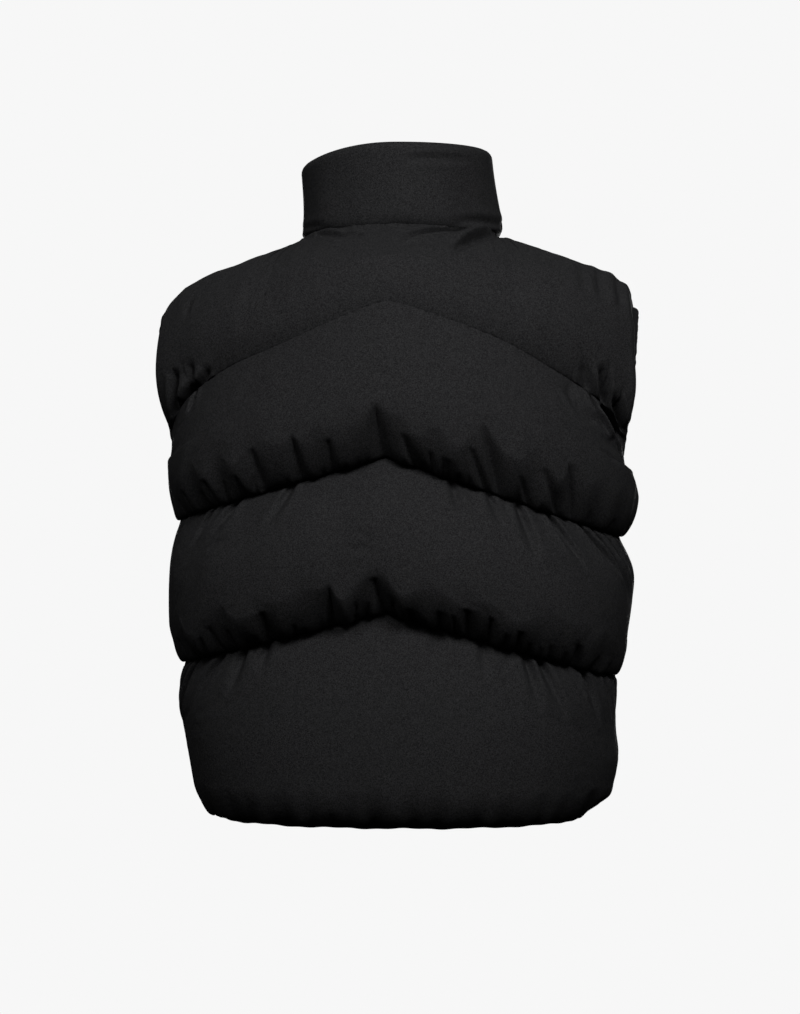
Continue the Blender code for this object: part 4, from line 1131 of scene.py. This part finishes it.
def make_collar(material):
    """A closed wall carried round the neck: its middle line is a quadratic curve from the seam
    to the top edge, its thickness swells above the seam, and its top edge is a half circle."""
    half = np.linspace(0, 1, COLLAR_STATIONS // 2 + 1)
    half_turns = FRONT_NECK_TURN * (1 - half)
    turn = np.concatenate([half_turns, half_turns[-2::-1]])
    hand = np.concatenate([np.ones(len(half)), -np.ones(len(half) - 1)])
    flip = stack(hand, 1, 1)
    foot, bend, top = (part[:, None] for part in collar_spine(turn, hand))
    run = distance_along(neck_point(turn) * flip, 0)
    ends = edge_fullness(np.minimum(run, run[-1] - run), COLLAR_END_TAPER)[:, None]
    share = np.linspace(0, 1, COLLAR_WALL) ** COLLAR_CROWDING
    t = share[None, :, None]
    middle = collar_line(foot, bend, top, t)
    tangent = unit(2 * (1 - t) * (bend - foot) + 2 * t * (top - bend))
    radial = stack(np.sin(turn) * hand, np.cos(turn), 0)[:, None]
    seam_out = (neck_frame(turn)[2] * flip)[:, None]
    upright = np.clip(share / COLLAR_FOOT_SHARE, 0, 1)
    out = seam_out * (1 - upright[None, :, None]) + radial * upright[None, :, None]
    outward = square_to(out, tangent)
    rng = np.random.default_rng(SEEDS["collar"])
    ripple = waves(rng, run[:, None], COLLAR_WAVES) * COLLAR_RIPPLE * np.sin(math.pi * share)
    squareness = COLLAR_FOOT_SQUARENESS
    fullness = squareness * edge_fullness(upright, 1)
    fullness = (fullness + (1 - squareness) * np.sin(upright * math.pi / 2))[None, :]
    thick = COLLAR_SEAM_HALF + (COLLAR_HALF_THICKNESS - COLLAR_SEAM_HALF) * fullness * ends
    turns = np.linspace(0, math.pi, COLLAR_CAP + 2)[1:-1][None, :, None]
    cap = np.cos(turns) * outward[:, -1:] + np.sin(turns) * tangent[:, -1:]
    cap = middle[:, -1:] + thick[:, -1:, None] * cap
    right = np.where(hand < 0, np.abs(np.sin(turn)) ** 4, 0)[:, None]
    bulge = COLLAR_RIGHT_BULGE * right * np.sin(math.pi * share**0.75)[None, :]
    folds = fold_depths(COLLAR_FOLDS, middle[..., 0], middle[..., 2]) * (np.cos(turn) > 0)[:, None]
    outer_wall = middle + outward * (thick + bulge - folds + ripple * ends)[..., None]
    inner_wall = middle - outward * thick[..., None]
    sections = np.concatenate([outer_wall, cap, inner_wall[:, ::-1]], axis=1)
    sections[0, :, 0] = ZIP_EDGE
    sections[-1, :, 0] = -ZIP_EDGE
    stations, corners = sections.shape[:2]
    last = np.arange(corners) + (stations - 1) * corners
    faces = ring_quads(stations, corners) + [list(range(corners))[::-1], last.tolist()]
    piece = add_strip("collar_cloth", sections, run, faces)
    put_on(piece, material, "collar")


def add_strip(name, sections, run, faces):
    """A closed mesh of sections carried along a path. The flat cloth's places are the running
    lengths along the path and round each section."""
    around = distance_along(sections, 1)
    uv = np.stack([run[:, None] + 0 * around, around], axis=-1).reshape(-1, 2)
    piece = add_mesh(name, sections.reshape(-1, 3) * MM, faces, uv * MM, STRIP_SHARP)
    turn_outwards(piece)
    return piece


# ==== bindings and the hem strip


def finer(line, times=2):
    """A line of places with smooth ones put in between."""
    for _ in range(times):
        line = halfway(np.asarray(line, float), 0)
    return line


def walled(line, thick):
    """The closed outline of a thin wall whose middle line is this line of (away, out) places."""
    along = tangents(line, closed=False)
    aside = np.stack([along[:, 1], -along[:, 0]], axis=1) * thick / 2
    return np.concatenate([line + aside, (line - aside)[::-1]])


def carried(name, path, axes, outline, closed=False):
    """A strip whose outline of (away, out) places is carried along the path, and its length. The
    outline may change along it."""
    away, out = axes
    outline = np.broadcast_to(outline, (len(path), *np.shape(outline)[-2:]))
    sections = path[:, None] + away[:, None] * outline[..., :1] + out[:, None] * outline[..., 1:]
    stations, corners = sections.shape[:2]
    faces = ring_quads(stations, corners, closed)
    for first in (() if closed else (0, (stations - 1) * corners)):
        for n in range(corners // 2 - 1):
            cap = [first + n, first + n + 1, first + corners - 2 - n, first + corners - 1 - n]
            faces.append(cap if first else cap[::-1])
    run = distance_along(path, 0)
    return add_strip(name, sections, run, faces), float(run[-1])


def stitches(name, seam, up, material):
    """A row of stitches: thread beads lying along the seam, each a stretched octahedron with its
    ends let into the cloth."""
    run = distance_along(seam, 0)
    at = np.arange(STITCH_STEP, run[-1] - STITCH_STEP / 2, STITCH_STEP)
    places = resampled(at, run, seam)
    along = unit(resampled(at, run, tangents(seam, closed=False)))
    up = square_to(unit(resampled(at, run, up)), along)
    side = np.cross(along, up)
    points = places[:, None] + sum(
        part[:, None] * STITCH_BEAD[None, :, axis : axis + 1]
        for axis, part in enumerate((along, side, up))
    )
    corners = len(STITCH_BEAD)
    faces = [
        [corners * n + corner for corner in face] for n in range(len(at)) for face in STITCH_FACES
    ]
    piece = add_mesh(name, points.reshape(-1, 3) * MM, faces)
    put_on(piece, material)
    return piece


def make_armhole_binding(side, hand, trim):
    """The bound edge of one armhole: a strip of cloth folded round the edge, up the back, over
    the shoulder and down the front, with a row of stitches."""
    v = np.linspace(UNDERARM_V, TOP_V, 110)
    points = [panel_points(panel, 1.0, v, hand) for panel in ("back", "front")]
    normals = [panel_axes(panel, 1.0, v, hand)[0] for panel in ("back", "front")]
    normals[0][[0, -1]] += normals[1][[0, -1]]
    ring = np.concatenate([points[0], points[1][-2:0:-1]])
    out = unit(np.concatenate([normals[0], normals[1][-2:0:-1]]))
    share = np.clip(v - UNDERARM_V, 0, 1)
    share = np.concatenate([share, share[-2:0:-1]])[:, None]
    out = out * share + np.array((1.0, 0.0, 0.0)) * (1 - share)
    along = tangents(ring, closed=True)
    out = square_to(out, along)
    away = np.cross(out, along)
    rng = np.random.default_rng(SEEDS["armholes"] + (hand > 0))
    pucker = 1 + BINDING_PUCKER * waves(rng, distance_along(ring, 0), BINDING_WAVES)
    outline = walled(finer(ARMHOLE_FOLD), BINDING_THICK)[None] * pucker[:, None, None]
    flip = np.array((hand, 1, 1))
    name = f"armhole_binding_{side}"
    piece, length = carried(f"{name}_cloth", ring * flip, (away * flip, out * flip), outline, True)
    put_on(piece, trim, name)
    seam_away, seam_out = ARMHOLE_STITCHES
    seam = (ring + away * seam_away + out * seam_out) * flip
    closing = list(range(len(seam))) + [0]
    thread = stitches(f"armhole_stitches_{side}", seam[closing], (out * flip)[closing], trim)
    fold_width(ARMHOLE_FOLD) * MM


def fold_width(fold):
    return float(distance_along(finer(fold), 0)[-1])


def make_hem_strip(trim):
    """The narrow black strip under the hem, folded round the edge from one zip edge round the
    back to the other. Its lower edge waves a little, unevenly along its length."""
    s = np.linspace(0, 1, 150)
    v = np.zeros_like(s)
    points = []
    normals = []
    quarters = (("front", 1, 1), ("back", 1, -1), ("back", -1, 1), ("front", -1, -1))
    for panel, hand, order in quarters:
        flip = np.array((hand, 1, 1))
        first = 1 if points else 0
        points.append((panel_points(panel, s, v, hand) * flip)[::order][first:])
        normals.append((panel_axes(panel, s, v, hand)[0] * flip)[::order][first:])
    path = np.concatenate(points)
    along = tangents(path, closed=False)
    out = square_to(np.concatenate(normals), along)
    rng = np.random.default_rng(SEEDS["hem"])
    reach = 1 + HEM_WAVING * waves(rng, distance_along(path, 0), HEM_WAVES)
    outline = walled(finer(HEM_FOLD), BINDING_THICK)[None]
    outline = outline * np.stack([reach, 1 + 0 * reach], axis=-1)[:, None]
    piece, length = carried("hem_binding_cloth", path, (np.cross(along, out), out), outline)
    put_on(piece, trim, "hem_binding")
    fold_width(HEM_FOLD) * MM


# ==== zip


def zip_path():
    """(path, out): the zip's middle line, from the hem up the fronts and the collar, at x 0."""
    v = np.linspace(0, TOP_V, 240)
    front = panel_points("front", np.zeros_like(v), v, 1)
    spine = collar_spine(FRONT_NECK_TURN, 1)
    collar = collar_line(*spine, np.linspace(0, 1, 60)[:, None])
    heights = np.linspace(front[-1, 2] + 1.5, TAPE_TOP, 40)
    collar = stack(0, np.interp(heights, collar[:, 2], collar[:, 1]), heights)
    path = np.concatenate([front, collar])
    path[:, 0] = 0
    run = distance_along(path, 0)
    path = resampled(np.linspace(0, run[-1], 300), run, path)
    return path, np.cross(tangents(path, closed=False), TO_RIGHT)


def make_tape(side, hand, trim):
    """One woven tape beside the teeth. Above the slider the two tapes stand a little apart."""
    path, out = zip_path()
    parted = smooth_step((path[:, 2] - SLIDER_MIDDLE + 2) / 6)
    inner = (TAPE_INNER + (TAPE_PARTED - TAPE_INNER) * parted)[:, None]
    across = np.linspace(0, 1, 7)[None, :]
    crown = TAPE_CROWN * np.sin(across * math.pi) + 0 * inner
    line = np.stack([inner + (TAPE_OUTER - inner) * across, crown], axis=-1)
    half = np.array((0, TAPE_THICK / 2))
    outline = np.concatenate([line + half, (line - half)[:, ::-1]], axis=1)
    away = np.tile((float(hand), 0.0, 0.0), (len(path), 1))
    name = f"zip_tape_{side}"
    piece, length = carried(f"{name}_cloth", path, (away, out), outline)
    put_on(piece, trim, name)
    seam = path + away * TAPE_STITCHES + out * (TAPE_THICK / 2 + 0.1)
    thread = stitches(f"zip_stitches_{side}", seam, out, trim)


def make_teeth(metal):
    """The closed row of teeth: each is a small block with a sloping top that reaches past the
    middle from its own tape, left and right ones by turns."""
    path, out = zip_path()
    run = distance_along(path, 0)
    stop = np.interp(SLIDER_MIDDLE - SLIDER_REACH, path[:, 2], run)
    at = np.arange(1.0, stop - 0.9, TOOTH_STEP / 2)
    place = resampled(at, run, path)
    up = unit(resampled(at, run, out))
    along = -np.cross(up, TO_RIGHT)
    hand = np.where(np.arange(len(at)) % 2 == 0, 1.0, -1.0)
    corners = np.array([
        (reach + inset * inward, turn * (half - inset / 2), height)
        for height, inset in TOOTH_LEVELS
        for reach, half, inward in TOOTH_WAISTS
        for turn in (1, -1)
    ])
    points = (
        place[:, None]
        + stack(hand[:, None] * corners[None, :, 0], 0, 0)
        + along[:, None] * corners[None, :, 1:2]
        + up[:, None] * corners[None, :, 2:]
    )
    ring = (0, 2, 4, 5, 3, 1)
    faces = [[0, 1, 3, 2], [2, 3, 5, 4], [12, 14, 15, 13], [14, 16, 17, 15]]
    for level in (0, 6):
        for first, second in zip(ring, ring[1:] + ring[:1]):
            faces.append([level + first, level + second, level + 6 + second, level + 6 + first])
    every = [
        [len(corners) * n + corner for corner in (face if hand[n] > 0 else face[::-1])]
        for n in range(len(at))
        for face in faces
    ]
    piece = add_mesh("zip_teeth_row", points.reshape(-1, 3) * MM, every, None, math.radians(30))
    turn_outwards(piece)
    put_on(piece, metal, "zip_teeth")


# ==== finishes


def new_material(name, colour, roughness, metallic=0.0, specular=0.5):
    material = bpy.data.materials.new(name)
    material.use_nodes = True
    shader = material.node_tree.nodes["Principled BSDF"]
    shader.inputs["Base Color"].default_value = (*colour, 1)
    shader.inputs["Roughness"].default_value = roughness
    shader.inputs["Metallic"].default_value = metallic
    shader.inputs["Specular IOR Level"].default_value = specular
    return material, material.node_tree, shader


def add_node(tree, kind, values=(), links=()):
    """A shader node with these (socket, value) settings, fed by (socket, node's output) links."""
    node = tree.nodes.new(f"ShaderNode{kind}")
    for socket, value in values:
        node.inputs[socket].default_value = value
    for socket, output in links:
        tree.links.new(output, node.inputs[socket])
    return node


def tint(tree, shader, pattern, *stops):
    """Colours a surface from dark to light by a pattern. A stop is (place, colour)."""
    tones = add_node(tree, "ValToRGB", links=[("Fac", pattern)])
    for element, (place, colour) in zip(tones.color_ramp.elements, stops):
        element.position = place
        element.color = (*colour, 1)
    tree.links.new(tones.outputs["Color"], shader.inputs["Base Color"])


def emboss(tree, shader, pattern, strength, distance):
    values = [("Strength", strength), ("Distance", distance)]
    bump = add_node(tree, "Bump", values, [("Height", pattern)])
    tree.links.new(bump.outputs["Normal"], shader.inputs["Normal"])


def shell_cloth():
    """Matte black woven polyester: a soft cloudy grain mixed with specks, one chance tone for
    each cell about a thread wide, and a bump that follows the grain."""
    material, tree, shader = new_material("shell cloth", (0.0165, 0.0165, 0.0175), 0.78, 0, 0.08)
    places = add_node(tree, "TexCoord").outputs["Object"]
    grain = add_node(tree, "TexNoise", [("Scale", 1300), ("Detail", 3)], [("Vector", places)])
    grain = grain.outputs["Fac"]
    specks = add_node(tree, "TexVoronoi", [("Scale", 1700)], [("Vector", places)])
    chance = add_node(tree, "SeparateColor", links=[("Color", specks.outputs["Color"])])
    parts = [("A", grain), ("B", chance.outputs["Red"])]
    speckled = add_node(tree, "Mix", [("Factor", 0.33)], parts).outputs["Result"]
    tint(tree, shader, speckled, (0.3, (0.005, 0.005, 0.0055)), (0.72, (0.027, 0.027, 0.028)))
    emboss(tree, shader, grain, 0.25, 0.0004)
    return material


def trim_cloth():
    """Black twill: slanting ribs with a fuzzy grain, rougher and darker than the shell."""
    material, tree, shader = new_material("trim cloth", (0.009, 0.009, 0.010), 0.9, 0, 0.12)
    places = add_node(tree, "TexCoord").outputs["Object"]
    values = [("Scale", 420), ("Distortion", 1.2), ("Detail", 2)]
    ribs = add_node(tree, "TexWave", values, [("Vector", places)])
    ribs.bands_direction = "DIAGONAL"
    ribs = ribs.outputs["Fac"]
    tint(tree, shader, ribs, (0, (0.005, 0.005, 0.0055)), (1, (0.014, 0.014, 0.015)))
    emboss(tree, shader, ribs, 0.4, 0.0003)
    return material


def enamel():
    """Satin black enamel over metal: an even coat, a little duller in faint patches."""
    material, tree, shader = new_material("zip enamel", (0.014, 0.014, 0.016), 0.45, 0.1)
    places = add_node(tree, "TexCoord").outputs["Object"]
    patches = add_node(tree, "TexNoise", [("Scale", 260), ("Detail", 4)], [("Vector", places)])
    patches = patches.outputs["Fac"]
    tint(tree, shader, patches, (0, (0.009, 0.009, 0.010)), (1, (0.021, 0.021, 0.023)))
    span = [("To Min", 0.4), ("To Max", 0.6)]
    dull = add_node(tree, "MapRange", span, [("Value", patches)])
    tree.links.new(dull.outputs["Result"], shader.inputs["Roughness"])
    return material


# ==== stage

# How bright the dome is by the height of a direction: from these two heights to these two values.
DOME = {"From Min": -0.25, "From Max": 0.5, "To Min": 0.01, "To Max": 0.14}
LAMPS = (
    ("behind_right", (-0.8, 1.9, 1.25), 0.8, 40),
    ("behind_left", (0.7, 1.9, 1.25), 0.8, 19),
    ("front_left", (0.4, -2.2, -0.1), 0.9, 22),
    ("front_right", (-0.35, -2.2, -0.1), 0.9, 15),
)
LAMPS_AIM = (0, 0, -0.25)
FLOOR_GLOW = (0.93, 0.93, 0.93, 1)
CAMERA_TURN = math.radians(184.7)
CAMERA_FAR = 2.5
CAMERA_HEIGHT = -0.238
LENS = 100
BOWL = ((0.0, -1.9), (3.2, -1.9), (4.2, -1.75), (4.9, -1.3), (5.3, -0.5), (5.4, 1.0), (5.4, 5.0))


def turned(outline, steps=96):
    """(points, faces) of an outline of radius and height turned round Z, radius 0 being a pole."""
    turns = np.linspace(0, 2 * math.pi, steps, endpoint=False)[None, :]
    rings = np.array(outline[1:])
    radius, height = rings[:, :1], rings[:, 1:]
    points = stack(radius * np.cos(turns), radius * np.sin(turns), height)
    return points.reshape(-1, 3), ring_quads(len(rings), steps) + [list(range(steps))]


def studio_light(name, place, size, power):
    light = bpy.data.lights.new(name, "AREA")
    light.shape = "DISK"
    light.size = size
    light.energy = power
    lamp = bpy.data.objects.new(name, light)
    bpy.context.scene.collection.objects.link(lamp)
    lamp.location = place
    x, y, z = np.array(LAMPS_AIM) - np.array(place)
    lamp.rotation_euler = (math.atan2(math.hypot(x, y), -z), 0, math.atan2(-x, y))


def make_stage():
    """A pale floor that curves up into pale walls all round, soft light from the whole upper
    half of the room, and four large soft lamps."""
    scene = bpy.context.scene
    scene.view_settings.view_transform = "Standard"
    world = bpy.data.worlds.new("studio")
    world.use_nodes = True
    tree = world.node_tree
    places = add_node(tree, "TexCoord").outputs["Generated"]
    parts = add_node(tree, "SeparateXYZ", links=[("Vector", places)])
    rise = add_node(tree, "MapRange", DOME.items(), [("Value", parts.outputs["Z"])])
    rise.interpolation_type = "SMOOTHSTEP"
    tree.links.new(rise.outputs["Result"], tree.nodes["Background"].inputs["Strength"])
    tree.nodes["Background"].inputs["Color"].default_value = (1, 1, 1, 1)
    scene.world = world
    points, faces = turned(BOWL)
    floor = add_mesh("floor", points, faces)
    pale, _, shader = new_material("pale floor", (0.0, 0.0, 0.0), 1.0, 0, 0)
    shader.inputs["Emission Color"].default_value = FLOOR_GLOW
    shader.inputs["Emission Strength"].default_value = 1
    floor.data.materials.append(pale)
    floor.visible_diffuse = False
    floor.visible_glossy = False
    floor.visible_shadow = False
    for lamp in LAMPS:
        studio_light(*lamp)

    camera = bpy.data.cameras.new("camera")
    camera.lens = LENS
    eye = bpy.data.objects.new("camera", camera)
    scene.collection.objects.link(eye)
    x, y = CAMERA_FAR * math.sin(CAMERA_TURN), -CAMERA_FAR * math.cos(CAMERA_TURN)
    eye.location = (x, y, CAMERA_HEIGHT)
    eye.rotation_euler = (math.pi / 2, 0, CAMERA_TURN)
    scene.camera = eye


# ==== all of it


def main():
    cloth = shell_cloth()
    trim = trim_cloth()
    metal = enamel()
    make_stage()
    make_panel("back", "back", 0, cloth)
    make_panel("front_left", "front", 1, cloth)
    make_panel("front_right", "front", -1, cloth)
    make_collar(cloth)
    make_hem_strip(trim)
    for side, hand in (("left", 1), ("right", -1)):
        make_armhole_binding(side, hand, trim)
        make_tape(side, hand, trim)
    make_teeth(metal)
    for name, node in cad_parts.items():
        if not node.hide_render:
            finish = metal if name in ("zip_teeth", "zip_slider", "zip_pull_tab") else trim
            node.data.materials.clear()
            node.data.materials.append(finish)


main()
